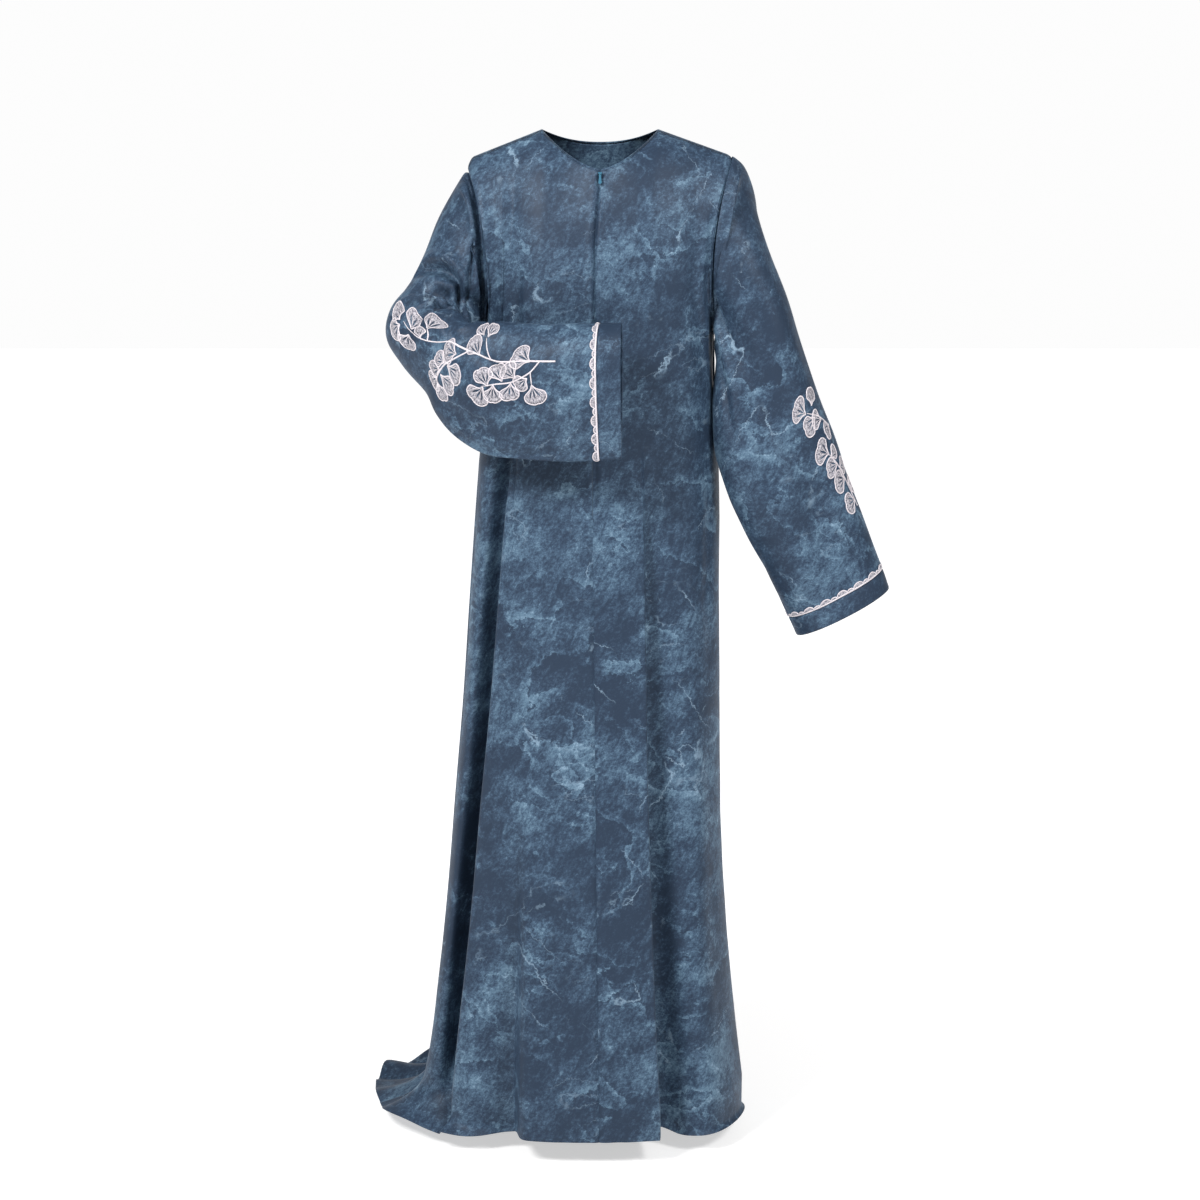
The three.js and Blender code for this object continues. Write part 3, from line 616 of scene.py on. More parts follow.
def print_cloth(name):
    """The printed cloth: slate ground, ragged light plates, scratches and a few pale veins."""
    material, tree, shader = new_material(name, {
        "Specular IOR Level": 0.15, "Sheen Weight": 0.06, "Sheen Roughness": 0.4,
        "Sheen Tint": (0.35, 0.55, 0.85, 1),
    })
    cloth = node(tree, "ShaderNodeAttribute", attribute_name="print_place").outputs["Vector"]
    # A warp, so that no edge of the print runs straight.
    rough_edge = node(tree, "ShaderNodeTexNoise", {"Vector": cloth, "Scale": 60.0, "Detail": 5.0,
                      "Roughness": 0.7}).outputs["Color"]
    pulled = node(tree, "ShaderNodeVectorMath", {0: rough_edge, 1: (0.5, 0.5, 0.5)},
                  operation="SUBTRACT").outputs[0]
    pulled = node(tree, "ShaderNodeVectorMath", {0: pulled, "Scale": 0.024},
                  operation="SCALE").outputs[0]
    ragged = node(tree, "ShaderNodeVectorMath", {0: cloth, 1: pulled}, operation="ADD").outputs[0]
    broad = noise(tree, cloth, 6.5, 3, 0.55, 0.3, size=(0.8, 1.2, 1), turn=30)
    cloud = noise(tree, ragged, 21, 6, 0.70, 0.2, size=(0.7, 1.3, 1), turn=26, at=(3, 1, 5))
    tone = plus(tree, sums(tree, "MULTIPLY", broad, 0.48), cloud, 0.46)
    # Plates, like split stone: bright along one edge, and fading away from it.
    for scale, steps, turn, at, low, high, strength in PLATES:
        slow = noise(tree, ragged, scale, 3, 0.5, 0.2, size=(0.8, 1.35, 1), turn=turn, at=at)
        fade = sums(tree, "POWER", sums(tree, "FRACT", sums(tree, "MULTIPLY", slow, steps)), 6.0)
        shown = ramp(tree, noise(tree, cloth, 9, 4, at=(at[2], at[0], 7)), low, high)
        plates = sums(tree, "MULTIPLY", fade, shown)
        tone = plus(tree, tone, plates, strength)
    # A scratchy grain in two sizes, and sparse bright flecks.
    grain = noise(tree, cloth, 230, 4, 0.85, 0.2, size=(0.8, 1.1, 1), turn=16, at=(9, 4, 2))
    scratch = noise(tree, cloth, 75, 5, 0.8, 0.6, size=(0.6, 1.6, 1), turn=64, at=(4, 4, 1))
    tone = plus(tree, tone, sums(tree, "SUBTRACT", grain, 0.5), 0.56)
    tone = plus(tree, tone, sums(tree, "SUBTRACT", scratch, 0.5), 0.52)
    base = mixed(tree, ramp(tree, tone, 0.37, 0.57), INK["deep"], INK["slate"])
    base = mixed(tree, ramp(tree, tone, 0.48, 0.69), base, INK["light"])
    flecks = ramp(tree, plus(tree, tone, grain, 0.4), 0.86, 1.04)
    base = mixed(tree, sums(tree, "MULTIPLY", flecks, 0.8), base, INK["vein"])
    # Veins: thin pale strokes, long one way, broken up by a wider noise.
    for scale, across, wide, strength, turn, at in VEINS:
        bent = noise(tree, ragged, scale, 2, 0.5, 0.1, size=(0.7, across, 1), turn=turn, at=at)
        line = ramp(tree, sums(tree, "ABSOLUTE", sums(tree, "SUBTRACT", bent, 0.5)), wide, 0.0)
        broken = ramp(tree, noise(tree, cloth, 8, 4, 0.6, at=(at[1], at[2], 4)), 0.54, 0.62)
        share = sums(tree, "MULTIPLY", sums(tree, "MULTIPLY", line, broken), strength)
        base = mixed(tree, share, base, INK["vein"])
    tree.links.new(base, shader.inputs["Base Color"])
    # A very fine noise stands for the weave, and a wider one for a soft, handled surface.
    threads = node(tree, "ShaderNodeTexNoise", {"Vector": cloth, "Scale": 2600.0, "Detail": 1.0})
    soft = noise(tree, cloth, 38, 4, 0.55, 0.4, size=(1, 0.5, 1), at=(5, 5, 9))
    height = sums(tree, "ADD", sums(tree, "MULTIPLY", threads.outputs["Fac"], 0.08), soft)
    bump = node(tree, "ShaderNodeBump", {"Height": height, "Strength": 0.4, "Distance": 0.0016})
    tree.links.new(bump.outputs[0], shader.inputs["Normal"])
    rough = sums(tree, "ADD", sums(tree, "MULTIPLY", soft, 0.2), 0.42)
    tree.links.new(rough, shader.inputs["Roughness"])
    return material


printed = print_cloth("printed_cloth")
print("materials:", [m.name for m in bpy.data.materials])

# %% [markdown]
# ## The body's three panels
# The abaya is cut as two fronts and a back. The fronts meet at a zip that runs from the V down to
# the hips, and in a plain seam below it. The print isn't matched across that seam, so each panel has
# its own place on the print. The creases are given one by one: a sharp one beside the bent arm, soft
# ones that fall from the armholes, and a few that hang from the chest.

# %% The creases of the fronts and the back
# Each line is in millimetres, to the wearer's left and up.
FRONT_CREASES = [
    ([(-112, -205), (-114, -262), (-117, -330), (-122, -440), (-128, -560)], 8, 4, 7),
    ([(-96, -225), (-101, -330), (-106, -420)], 12, 12, -2.6),
    ([(-140, -150), (-148, -220), (-158, -300)], 8, 12, 2.4),
    ([(-128, -95), (-132, -170), (-128, -236)], 13, 9, 1.6),
    ([(170, -85), (163, -120), (158, -182), (156, -240), (161, -310), (165, -400)], 7, 4, 5.5),
    ([(148, -110), (149, -190), (152, -330)], 8, 8, -2.6),
    ([(134, -150), (139, -250), (148, -420)], 11, 6, 3.0),
    ([(152, -420), (156, -560), (160, -780)], 8, 8, 3.0),
    ([(96, -330), (104, -480), (110, -700)], 20, 13, 2.4),
    ([(40, -330), (44, -560), (50, -760)], 22, 14, -1.8),
    ([(-38, -300), (-44, -470), (-52, -760)], 25, 16, 2.2),
    ([(-74, -420), (-82, -640), (-96, -900)], 18, 12, 1.8),
    ([(20, -760), (26, -980), (30, -1240)], 26, 18, 2.2),
    ([(118, -640), (126, -880), (134, -1180)], 18, 12, 2.8),
    ([(160, -820), (168, -1080), (176, -1330)], 12, 16, 3.0),
    ([(-12, -980), (-16, -1150), (-20, -1330)], 16, 16, -2),
    ([(-64, -1180), (-70, -1300), (-78, -1430)], 14, 18, 3.0),
    ([(20, -1330), (24, -1400), (28, -1460)], 12, 9, 3.4),
    ([(-50, -1350), (-54, -1410), (-56, -1460)], 9, 12, 3.0),
    ([(130, -1340), (136, -1400), (142, -1450)], 12, 12, 3.0),
]
BACK_CREASES = [
    ([(-150, -110), (-146, -190), (-152, -290)], 10, 5, 4.6),
    ([(152, -105), (148, -185), (153, -300)], 5, 10, 4.6),
    ([(-118, -120), (-112, -240), (-120, -400)], 16, 10, 2.8),
    ([(104, -140), (112, -270), (108, -430)], 10, 16, 2.6),
    ([(-40, -90), (-44, -250), (-36, -440)], 24, 16, 2.0),
    ([(36, -150), (30, -330), (42, -560)], 22, 14, -1.8),
    ([(-84, -430), (-90, -640), (-100, -930)], 18, 10, 3.4),
    ([(0, -470), (-8, -720), (4, -1040)], 12, 20, 3.0),
    ([(88, -520), (96, -770), (90, -1080)], 18, 10, 3.2),
    ([(150, -620), (156, -860), (150, -1160)], 8, 16, 3.4),
    ([(-160, -700), (-168, -930), (-180, -1200)], 16, 8, 3.4),
    ([(-40, -900), (-46, -1120), (-52, -1400)], 14, 7, 4.0),
    ([(52, -960), (56, -1150), (52, -1400)], 8, 16, 3.6),
]


# %% Rows and columns of the body
BODY_ROWS = np.concatenate([
    [-1, -0.996, -0.991, -0.984],
    -np.cos(np.linspace(0, math.pi, 61))[4:-1] / 2 - 0.5,
    np.linspace(0, 1, 181)[:-1],
    close_rows(1, 2, 24, (), (0.01, 0.03, 0.06)),
])
CLOTH, BAND_CLOTH = 1.0, 1.4  # mm thick
SEAM_STEPS = (0.0016, 0.0036, 0.0065, 0.011, 0.018)
SIDE_STEPS = (0.0025, 0.007, 0.014)


def drifted(x, y):
    """Slack in the cloth: long, low waves that never quite repeat."""
    wave = 0.8 * np.sin(x / 29 + y / 310 + 0.6) + 0.6 * np.sin(x / 17.3 - y / 190 + 2.2)
    return wave + 0.5 * np.sin(y / 71 + x / 83 + 1.1)


LEAN = table("z shift", [
    (-55, 0), (-90, -2), (-150, -7), (-290, -8), (-480, -6), (-800, -4), (-1150, -2), (-1485, -1),
])
ZIP_END = -540


def leaned(points):
    """The front hangs a little off centre, so its middle seam drifts to the wearer's right."""
    shift = read(LEAN, points[..., 2], "z")["shift"] * np.exp(-((points[..., 0] / 90) ** 2))
    return points + np.stack([shift, 0 * shift, 0 * shift], -1)


def zip_groove(points):
    """The two fronts fold in where they meet over the zip, and stand up slightly beside it."""
    x = points[..., 0] - read(LEAN, points[..., 2], "z")["shift"]
    on_zip = smooth((points[..., 2] - ZIP_END) / 12)
    ripple = 0.35 * np.sin(points[..., 2] / 6.1) + 0.25 * np.sin(points[..., 2] / 3.7 + 1)
    beside = (0.9 + ripple * 0.6) * np.exp(-(((np.abs(x) - 7) / 4) ** 2))
    return on_zip * (2.4 * np.exp(-((x / 1.9) ** 2)) - beside)


LIP = table("z right left", [
    (-46, 0, 0), (-70, 3, 2), (-110, 9, 4), (-170, 14, 6), (-240, 19, 8), (-290, 20, 8),
    (-330, 10, 5), (-400, 0, 0),
])
LIP_EDGE, LIP_BACK = 4, 64


def armhole_lip(points, columns):
    """How far forward the front's edge stands at the armhole, where it laps over the sleeve."""
    edges = from_edges(points)
    edge, side = (edges["start"], "right") if columns[0] < 0 else (edges["end"], "left")
    shape = smooth(edge / LIP_EDGE) * (1 - smooth((edge - LIP_EDGE) / LIP_BACK))
    return read(LIP, points[..., 2], "z")[side] * shape


def body_panel(name, face, columns, creases, edges, offset, flip):
    across, row = np.meshgrid(columns, BODY_ROWS)
    points = face(across, row)
    if face is front:
        points = leaned(points)
        points[..., 1] -= armhole_lip(points, columns)
    normals = grid_normals(points, False) * (-1 if flip else 1)
    x, z = points[..., 0], points[..., 2]
    dip = pressed(x, z, creases) * smooth((-30 - z) / 60)
    dip = dip + drifted(x, z) * smooth((-60 - z) / 200) + turned_in(points, edges)
    if face is front:
        dip = dip + zip_groove(points)
    points = points - normals * dip[..., None]
    points[..., 2] = np.maximum(points[..., 2], FLOOR + 1.2)
    uv = thread_map(points, int(np.argmin(np.abs(columns))), 60, offset)
    return lay_grid(name, points, uv, printed, offset, flip, CLOTH), points


SEAM, CENTRE_SEAM, HEMMED = (0.9, 2.6), (2.3, 3.2), (0.7, 3)
piece_front_right, _ = body_panel(
    "front_right_cloth", front, close_rows(-1, 0, 136, SIDE_STEPS, SEAM_STEPS), FRONT_CREASES,
    {"start": SEAM, "end": CENTRE_SEAM, "top": SEAM, "foot": HEMMED}, (3.7, 1.3), True)
piece_front_left, on_front_left = body_panel(
    "front_left_cloth", front, close_rows(0, 1, 136, SEAM_STEPS, SIDE_STEPS), FRONT_CREASES,
    {"start": CENTRE_SEAM, "end": SEAM, "top": SEAM, "foot": HEMMED}, (1.2, 0.75), True)
piece_back, _ = body_panel(
    "back_cloth", back, close_rows(-1, 1, 166, SIDE_STEPS, SIDE_STEPS), BACK_CREASES,
    {"start": SEAM, "end": SEAM, "top": SEAM, "foot": HEMMED}, (5.1, 0.87), False)

# %% [markdown]
# ## Sleeves and cuffs
# Each sleeve is one piece of cloth closed by a seam under the arm, so its grid goes once round and
# its two edges are joined there. A separate band finishes it. The bent sleeve is full of folds: some
# wrap round the inside of the elbow, and others fan out from it along the forearm.

# %% The creases of the sleeves
# These charts count 48 mm for a section along the sleeve, and 1.15 mm for a degree round it.
ALONG, ROUND = 48, 1.15


def on_sleeve(*creases):
    """Creases given in sections and degrees, on the sleeve's chart in millimetres."""
    return [([(row * ALONG, turn * ROUND) for row, turn in line], near, far, deep)
            for line, near, far, deep in creases]


CREASES_RIGHT = on_sleeve(
    ([(0.14, -50), (0.14, 0), (0.17, 40), (0.2, 80), (0.22, 104), (0.28, 128), (0.4, 150)],
     14, 4.5, 14),
    ([(0.7, 80), (1.5, 82), (1.94, 91), (2.2, 103), (2.5, 118)], 5, 9, 9),
    ([(3.5, 26), (3.2, 50), (2.84, 68), (2.6, 82), (2.55, 93), (2.6, 106), (2.9, 124)], 13, 3.2, 24),
    ([(3.3, 26), (2.9, 52), (2.5, 70), (2.3, 86), (2.1, 101), (2.1, 116)], 5, 9, -9),
    ([(5.6, 50), (5.3, 66), (5.0, 80), (4.8, 92), (4.75, 102)], 12, 4, 9),
    ([(5.3, 50), (5.0, 66), (4.7, 80), (4.5, 92)], 5, 9, -4),
    ([(3.1, 92), (3.5, 106), (4.0, 120)], 7, 5, 8),
    ([(3.2, 84), (3.7, 98), (4.2, 110)], 22, 22, 9),
    ([(0.95, 12), (0.66, 30), (0.46, 50)], 5, 4, 7),
    ([(1.3, 12), (1.0, 34), (0.7, 56)], 9, 6, -5),
    ([(5.6, 140), (7.0, 124), (8.6, 112)], 5, 9, 4.4),
    ([(6.2, 112), (7.6, 98), (9.4, 92)], 11, 7, 2.8),
    ([(9.8, 134), (11.2, 108), (12.0, 88)], 9, 5, 5.0),
    ([(11.6, 100), (12.8, 96), (14.0, 98)], 6, 6, 1.6),
    ([(7.4, 60), (9.2, 52), (11.4, 56)], 17, 11, 2.0),
    ([(9.5, 24), (11.8, 22), (13.8, 30)], 14, 9, 2.4),
    ([(0.8, 60), (2.4, 50), (4.0, 34)], 20, 12, 2.0),
    ([(1.6, -110), (3.2, -96), (5.0, -60)], 6, 11, 6.0),
    ([(2.6, -140), (4.4, -122), (6.4, -92)], 5, 10, 6.5),
    ([(4.2, -150), (6.0, -136), (8.0, -116)], 5, 10, 5.0),
    ([(6.8, -120), (9.0, -100), (11.4, -92)], 15, 9, 2.8),
    ([(9.4, -60), (11.4, -52), (13.4, -60)], 17, 11, 2.2),
)
CREASES_LEFT = on_sleeve(
    ([(2.0, 84), (4.2, 82), (6.6, 74)], 15, 9, 5.0),
    ([(0.4, 128), (2.4, 122), (4.0, 118)], 5, 9, 6.0),
    ([(0.8, 152), (3.0, 146), (5.4, 140)], 5, 9, 6.0),
    ([(4.8, 128), (6.2, 118), (7.6, 116)], 11, 7, 3.8),
    ([(3.2, 40), (5.4, 36), (7.8, 30)], 20, 12, 2.0),
    ([(6.6, 74), (8.6, 64), (10.6, 60)], 18, 10, 2.8),
    ([(7.4, 112), (9.0, 108), (10.6, 104)], 15, 9, 2.0),
    ([(0.8, 30), (2.2, 34), (3.8, 32)], 17, 11, 2.4),
    ([(1.4, -120), (3.4, -114), (5.4, -106)], 6, 11, 5.4),
    ([(3.0, -78), (5.6, -74), (8.2, -66)], 17, 10, 3.4),
    ([(5.0, -140), (6.8, -128), (8.8, -122)], 7, 12, 4.0),
    ([(8.4, -92), (9.8, -84), (11.0, -80)], 16, 10, 2.2),
)


# %% Sleeve and cuff pieces
AROUND = np.linspace(180, 540, 151)


def sleeve_piece(name, sleeve, rows, creases, edges, offset, thick):
    """The piece, its points, and 1 or -1 for the side of the grid that faces out."""
    turn, row = np.meshgrid(AROUND, rows)
    points = sleeve(row, turn)
    normals = grid_normals(points, True)
    inside = points[:, :-1].mean(axis=1, keepdims=True)
    side = 1 if np.sum(normals * (points - inside)) > 0 else -1
    x, y = row * ALONG, wrap(turn) * ROUND
    dip = pressed(x, y, creases) + 0.7 * drifted(x * 1.3, y * 2) * smooth(row / 1.5)
    dip = dip + turned_in(points, edges)
    points = points - side * normals * dip[..., None]
    uv = thread_map(points, (len(AROUND) - 1) // 2, 0, offset, even=True)
    piece = lay_grid(name, points, uv, printed, offset, side < 0, thick, closed=True)
    return piece, points, side


BAND_SEAM = (1.0, 2.0)
EDGE_ROWS = (0.02, 0.05, 0.1)
sleeves = {}
for side, sleeve, last, creases, offset in (
    ("right", sleeve_right, 15, CREASES_RIGHT, (7.4, 0.3)),
    ("left", sleeve_left, 12, CREASES_LEFT, (9.1, 0.7)),
):
    band = last - 1
    rows = close_rows(0.03, band, 11 * band, EDGE_ROWS, EDGE_ROWS)
    cloth, on_cloth, facing = sleeve_piece(f"sleeve_{side}_cloth", sleeve, rows, creases,
                                           {"top": SEAM, "foot": BAND_SEAM}, offset, CLOTH)
    rows = close_rows(band + 0.01, last, 14, (0.03, 0.08), (0.03, 0.07, 0.12))
    cuff = sleeve_piece(f"cuff_{side}_cloth", sleeve, rows, creases,
                        {"top": (0.8, 1.5), "foot": (0.6, 1.6)},
                        (offset[0] + 1.3, offset[1] + 0.5), BAND_CLOTH)[0]
    sleeves[side] = {"cloth": cloth, "points": on_cloth, "facing": facing, "cuff": cuff}

# %% [markdown]
# ## A chart of each sleeve
# Trims and embroidery lie on the sleeves as they were sewn: flat, and before the sleeve was folded.
# So we draw them in millimetres on the cloth, and this chart finds each place on the finished
# sleeve: x runs round it from the edge over the elbow, and y runs down it from the armhole.

# %% From the flat cloth to the sleeve
def chart_of(points, side):
    around = np.cumsum(np.linalg.norm(np.diff(points, axis=1), axis=-1), axis=1)
    around = np.pad(around, ((0, 0), (1, 0)))
    around = around - around[:, 75:76]
    step = np.linalg.norm(np.diff(points, axis=0), axis=-1).mean(axis=1)
    down = np.concatenate([[0], np.cumsum(step)])
    normals = grid_normals(points, True) * side
    return {"points": points, "normals": normals, "x": around, "y": down}


def on_chart(chart, x, y, lift):
    """Places x, y of the flat cloth, lifted off the finished sleeve, in metres."""
    x, y, lift = np.broadcast_arrays(*(np.asarray(v, float) for v in (x, y, lift)))
    shape, x, y, lift = x.shape, x.ravel(), y.ravel(), lift.ravel()
    last = len(chart["y"]) - 1
    row = np.interp(y, chart["y"], np.arange(last + 1))
    low = np.minimum(row.astype(int), last - 1)
    t = (row - low)[:, None]
    ruler = chart["x"][low] * (1 - t) + chart["x"][low + 1] * t
    k = np.clip((ruler < x[:, None]).sum(axis=1) - 1, 0, ruler.shape[1] - 2)
    pick = np.arange(len(x))
    s = ((x - ruler[pick, k]) / (ruler[pick, k + 1] - ruler[pick, k]))[:, None]

    def at(grid):
        upper = grid[low, k] * (1 - s) + grid[low, k + 1] * s
        return upper * (1 - t) + (grid[low + 1, k] * (1 - s) + grid[low + 1, k + 1] * s) * t

    place = at(chart["points"]) + unit(at(chart["normals"])) * lift[:, None]
    return (place * MM).reshape(*shape, 3)


charts = {}
for side, made in sleeves.items():
    charts[side] = chart_of(made["points"], made["facing"])
    print(side, "sleeve is", round(charts[side]["y"][-1]), "mm long and",
          round(float(np.ptp(charts[side]["x"][-1]))), "mm round at the band")


# %% Thread: cords and filled shapes
def soft_mesh(name, places, faces, material, uv=None):
    """A smooth mesh of places in metres, with a UV for each place."""
    mesh = bpy.data.meshes.new(name)
    mesh.from_pydata(places.tolist(), [], faces)
    mesh.shade_smooth()
    if uv is not None:
        corner = np.empty(len(mesh.loops), int)
        mesh.loops.foreach_get("vertex_index", corner)
        mesh.uv_layers.new(name="thread").data.foreach_set("uv", uv[corner].ravel())
    mesh.materials.append(material)
    return new_object(name, mesh)


class Threads:
    """Collects cords and fills on one chart, to become one mesh."""

    def __init__(self, chart):
        self.chart, self.places, self.faces, self.uv, self.count = chart, [], [], [], 0

    def add(self, places, faces, uv):
        self.places.append(places)
        self.uv.append(uv)
        self.faces += [tuple(i + self.count for i in face) for face in faces]
        self.count += len(places)

    def cord(self, line, wide, high, closed=False):
        """A rounded cord along a line of x, y. wide is one width, or a width for each point."""
        line = np.asarray(line, float)
        ahead = np.roll(line, -1, 0) - np.roll(line, 1, 0) if closed else np.gradient(line, axis=0)
        ahead = unit(ahead)
        beside = np.stack([-ahead[:, 1], ahead[:, 0]], -1)
        wide = np.broadcast_to(np.asarray(wide, float), len(line))
        off = np.array([-0.5, -0.36, 0, 0.36, 0.5, 0])
        up = np.array([0.05, 0.72, 1, 0.72, 0.05, -0.3])
        x = line[:, :1] + beside[:, :1] * wide[:, None] * off
        y = line[:, 1:] + beside[:, 1:] * wide[:, None] * off
        places = on_chart(self.chart, x, y, np.broadcast_to(up * high, x.shape)).reshape(-1, 3)
        count, ring = len(line), len(off)
        far = np.concatenate([[0], np.cumsum(np.linalg.norm(np.diff(line, axis=0), axis=1))])
        uv = np.stack([np.repeat(far, ring), np.tile(off, count) * 2], -1)
        faces = []
        for i in range(count if closed else count - 1):
            j = (i + 1) % count
            for k in range(ring):
                m = (k + 1) % ring
                faces.append((i * ring + k, j * ring + k, j * ring + m, i * ring + m))
        if not closed:
            end = range(count * ring - 1, (count - 1) * ring - 1, -1)
            faces += [tuple(range(ring)), tuple(end)]
        self.add(places, faces, uv)

    def fill(self, x, y, high, uv):
        """A low pad over a grid of places, closed underneath."""
        rows, columns = x.shape
        inner = np.zeros(x.shape)
        inner[1:-1, 1:-1] = 1
        top = on_chart(self.chart, x, y, high * (0.55 + 0.45 * inner)).reshape(-1, 3)
        under = on_chart(self.chart, x, y, np.full(x.shape, -0.25)).reshape(-1, 3)
        n = rows * columns
        index = np.arange(n).reshape(rows, columns)
        faces = []
        for i in range(rows - 1):
            for k in range(columns - 1):
                a, b, c, d = index[i, k], index[i, k + 1], index[i + 1, k + 1], index[i + 1, k]
                faces += [(a, b, c, d), (d + n, c + n, b + n, a + n)]
        rim = [*index[0], *index[1:, -1], *index[-1, -2::-1], *index[-2:0:-1, 0]]
        for a, b in zip(rim, rim[1:] + rim[:1]):
            faces.append((b, a, a + n, b + n))
        self.add(np.concatenate([top, under]), faces, np.concatenate([uv.reshape(-1, 2)] * 2))

    def piece(self, name, material):
        places, uv = np.concatenate(self.places), np.concatenate(self.uv)
        made = soft_mesh(name, places, self.faces, material, uv)
        bm = bmesh.new()
        bm.from_mesh(made.data)
        bmesh.ops.recalc_face_normals(bm, faces=bm.faces)
        bm.to_mesh(made.data)
        bm.free()
        print(f"{name}: {len(made.data.polygons)} faces")
        return made


# %% Thread materials
def thread_paint(name, dark, light, along, across, grain):
    """Satin thread. along and across scale its streaks on the thread's own UV map."""
    material, tree, shader = new_material(name, {
        "Roughness": 0.5, "Specular IOR Level": 0.35, "Sheen Weight": 0.15})
    where = node(tree, "ShaderNodeUVMap", uv_map="thread").outputs[0]
    streak = noise(tree, where, 1.0, 3, 0.6, size=(along, across, 1))
    share = ramp(tree, streak, 0.38, 0.62)
    tree.links.new(mixed(tree, share, dark, light), shader.inputs["Base Color"])
    bump = node(tree, "ShaderNodeBump", {"Height": streak, "Strength": grain, "Distance": 0.0008})
    tree.links.new(bump.outputs[0], shader.inputs["Normal"])
    return material


cord_thread = thread_paint("cord_thread", (0.46, 0.42, 0.45), (0.70, 0.65, 0.68), 2.4, 1.2, 0.6)
fill_thread = thread_paint("fill_thread", (0.07, 0.072, 0.10), (0.42, 0.40, 0.43), 0.26, 0.85, 1.0)

# %% [markdown]
# ## Scalloped trim
# A narrow trim runs round each sleeve just above its band. Its straight cord lies on the seam, and
# large and small scallops take turns on the side of the sleeve, each a padded half round with a
# paler cord along its edge.

# %% Trims
TRIM = {"period": 27, "cord": 2.6, "large": (16.4, 8.6), "small": (9.8, 5.8)}


def trim(side):
    chart = charts[side]
    foot = chart["y"][-1] - 0.6
    start, end = chart["x"][-1][0], chart["x"][-1][-1]
    repeats = round((end - start) / TRIM["period"])
    period = (end - start) / repeats
    cords, pads = Threads(chart), Threads(chart)
    steps = 8 * repeats
    x = start + (np.arange(steps) + 0.5) * (end - start) / steps
    line = np.stack([x, np.full(steps, foot - TRIM["cord"] / 2)], -1)
    cords.cord(line, TRIM["cord"], 1.1, closed=True)
    for i in range(repeats):
        for at, (wide, reach) in ((0.34, TRIM["large"]), (0.84, TRIM["small"])):
            middle = start + (i + at) * period
            high = (reach - TRIM["cord"]) * (1 + 0.04 * math.sin(i * 2.3 + at))
            turn = np.linspace(0, math.pi, 13)
            arc = np.stack([middle - wide / 2 * np.cos(turn),
                            foot - TRIM["cord"] * 0.8 - high * np.sin(turn)], -1)
            cords.cord(arc, 1.5, 1.15)
            share = np.linspace(0.02, 0.93, 5)[:, None]
            px = middle - wide / 2 * 0.94 * np.cos(turn)[None] + 0 * share
            py = foot - TRIM["cord"] * 0.8 - high * np.sin(turn)[None] * share
            pads.fill(px, py, 0.7, np.stack([py, px], -1))
    return (cords.piece(f"trim_{side}_cord", cord_thread),
            pads.piece(f"trim_{side}_pads", fill_thread))


trims = {side: trim(side) for side in charts}

# %% [markdown]
# ## Embroidery
# Fan leaves grow in clusters along a branching stem. A leaf narrows to its stalk and has a soft
# notch in its rim. It is filled with fine thread that runs out from the stalk, split near the stalk
# by slits of bare cloth, and edged and veined with a paler cord. The layout is our own. Places are
# given as mm from the cuff's edge and mm round from the outer arm, and headings in degrees, where 0
# points away from the cuff and 90 points forward.

# %% A fan leaf and a stem
BAND = 31


def on_design(chart, away, round_to):
    """A place of the design, as x and y on the sleeve's chart."""
    return np.asarray(round_to, float), chart["y"][-1] + BAND - np.asarray(away, float)


def smooth_line(points, steps):
    tab = {"a": np.array(points, float)[:, 0], "b": np.array(points, float)[:, 1]}
    out = read(tab, np.linspace(0, len(points) - 1, steps))
    return out["a"], out["b"]


def stem(cords, points, wide, steps=40):
    a, b = smooth_line(points, steps)
    x, y = on_design(cords.chart, a, b)
    taper = np.minimum(1, 0.35 + 2.4 * np.linspace(1, 0, steps))
    cords.cord(np.stack([x, y], -1), wide * taper, 1.0)


def leaf(cords, pads, place, heading, size, spread, turn):
    """turn varies the notch and the lobes, so that no two leaves are the same."""
    half = math.radians(spread) / 2
    ahead = math.radians(heading)

    def at(share, r):
        """share runs from -1 to 1 across the fan, and r is mm from the stalk."""
        open_to = 0.55 + 0.45 * smooth(r / size / 0.6)
        angle = ahead + half * share * open_to
        return on_design(cords.chart, place[0] + r * np.cos(angle), place[1] + r * np.sin(angle))

    def rim(share):
        notch = 0.045 * np.exp(-(((share - 0.15 * math.sin(turn)) / 0.11) ** 2))
        lobes = 0.012 * np.cos(share * 7 + turn)
        return size * (0.98 - notch + lobes - 0.30 * np.abs(share) ** 3.4)

    lobes = np.array([-1, -0.46, 0.02, 0.5, 1]) + 0.05 * np.sin(turn + np.arange(5)) * (0, 1, 1, 1, 0)
    for low, high in zip(lobes, lobes[1:]):
        rise, t = np.meshgrid(np.linspace(0.1, 0.96, 8), np.linspace(0, 1, 5), indexing="ij")
        slit = 0.46 * np.clip(1 - rise / 0.72, 0, 1) ** 0.7
        share = low + (high - low) * (slit + (1 - 2 * slit) * t)
        r = rise * rim(low + (high - low) * t)
        x, y = at(share, r)
        pads.fill(x, y, 0.75, np.stack([r, share * half * size * 0.75], -1))
    share = np.concatenate([np.full(8, -1), np.linspace(-1, 1, 25), np.full(8, 1)])
    r = np.concatenate([np.linspace(0.03, 0.9, 9)[:8] * rim(-1), rim(np.linspace(-1, 1, 25)),
                        np.linspace(0.9, 0.03, 9)[1:] * rim(1)])
    cords.cord(np.stack(at(share, r), -1), 1.6, 1.2, closed=True)
    for low, high in zip(lobes, lobes[1:]):
        middle = (low + high) / 2
        r = np.linspace(0.12, 0.66, 7) * rim(middle)
        cords.cord(np.stack(at(middle + 0 * r, r), -1), 0.75, 0.95)


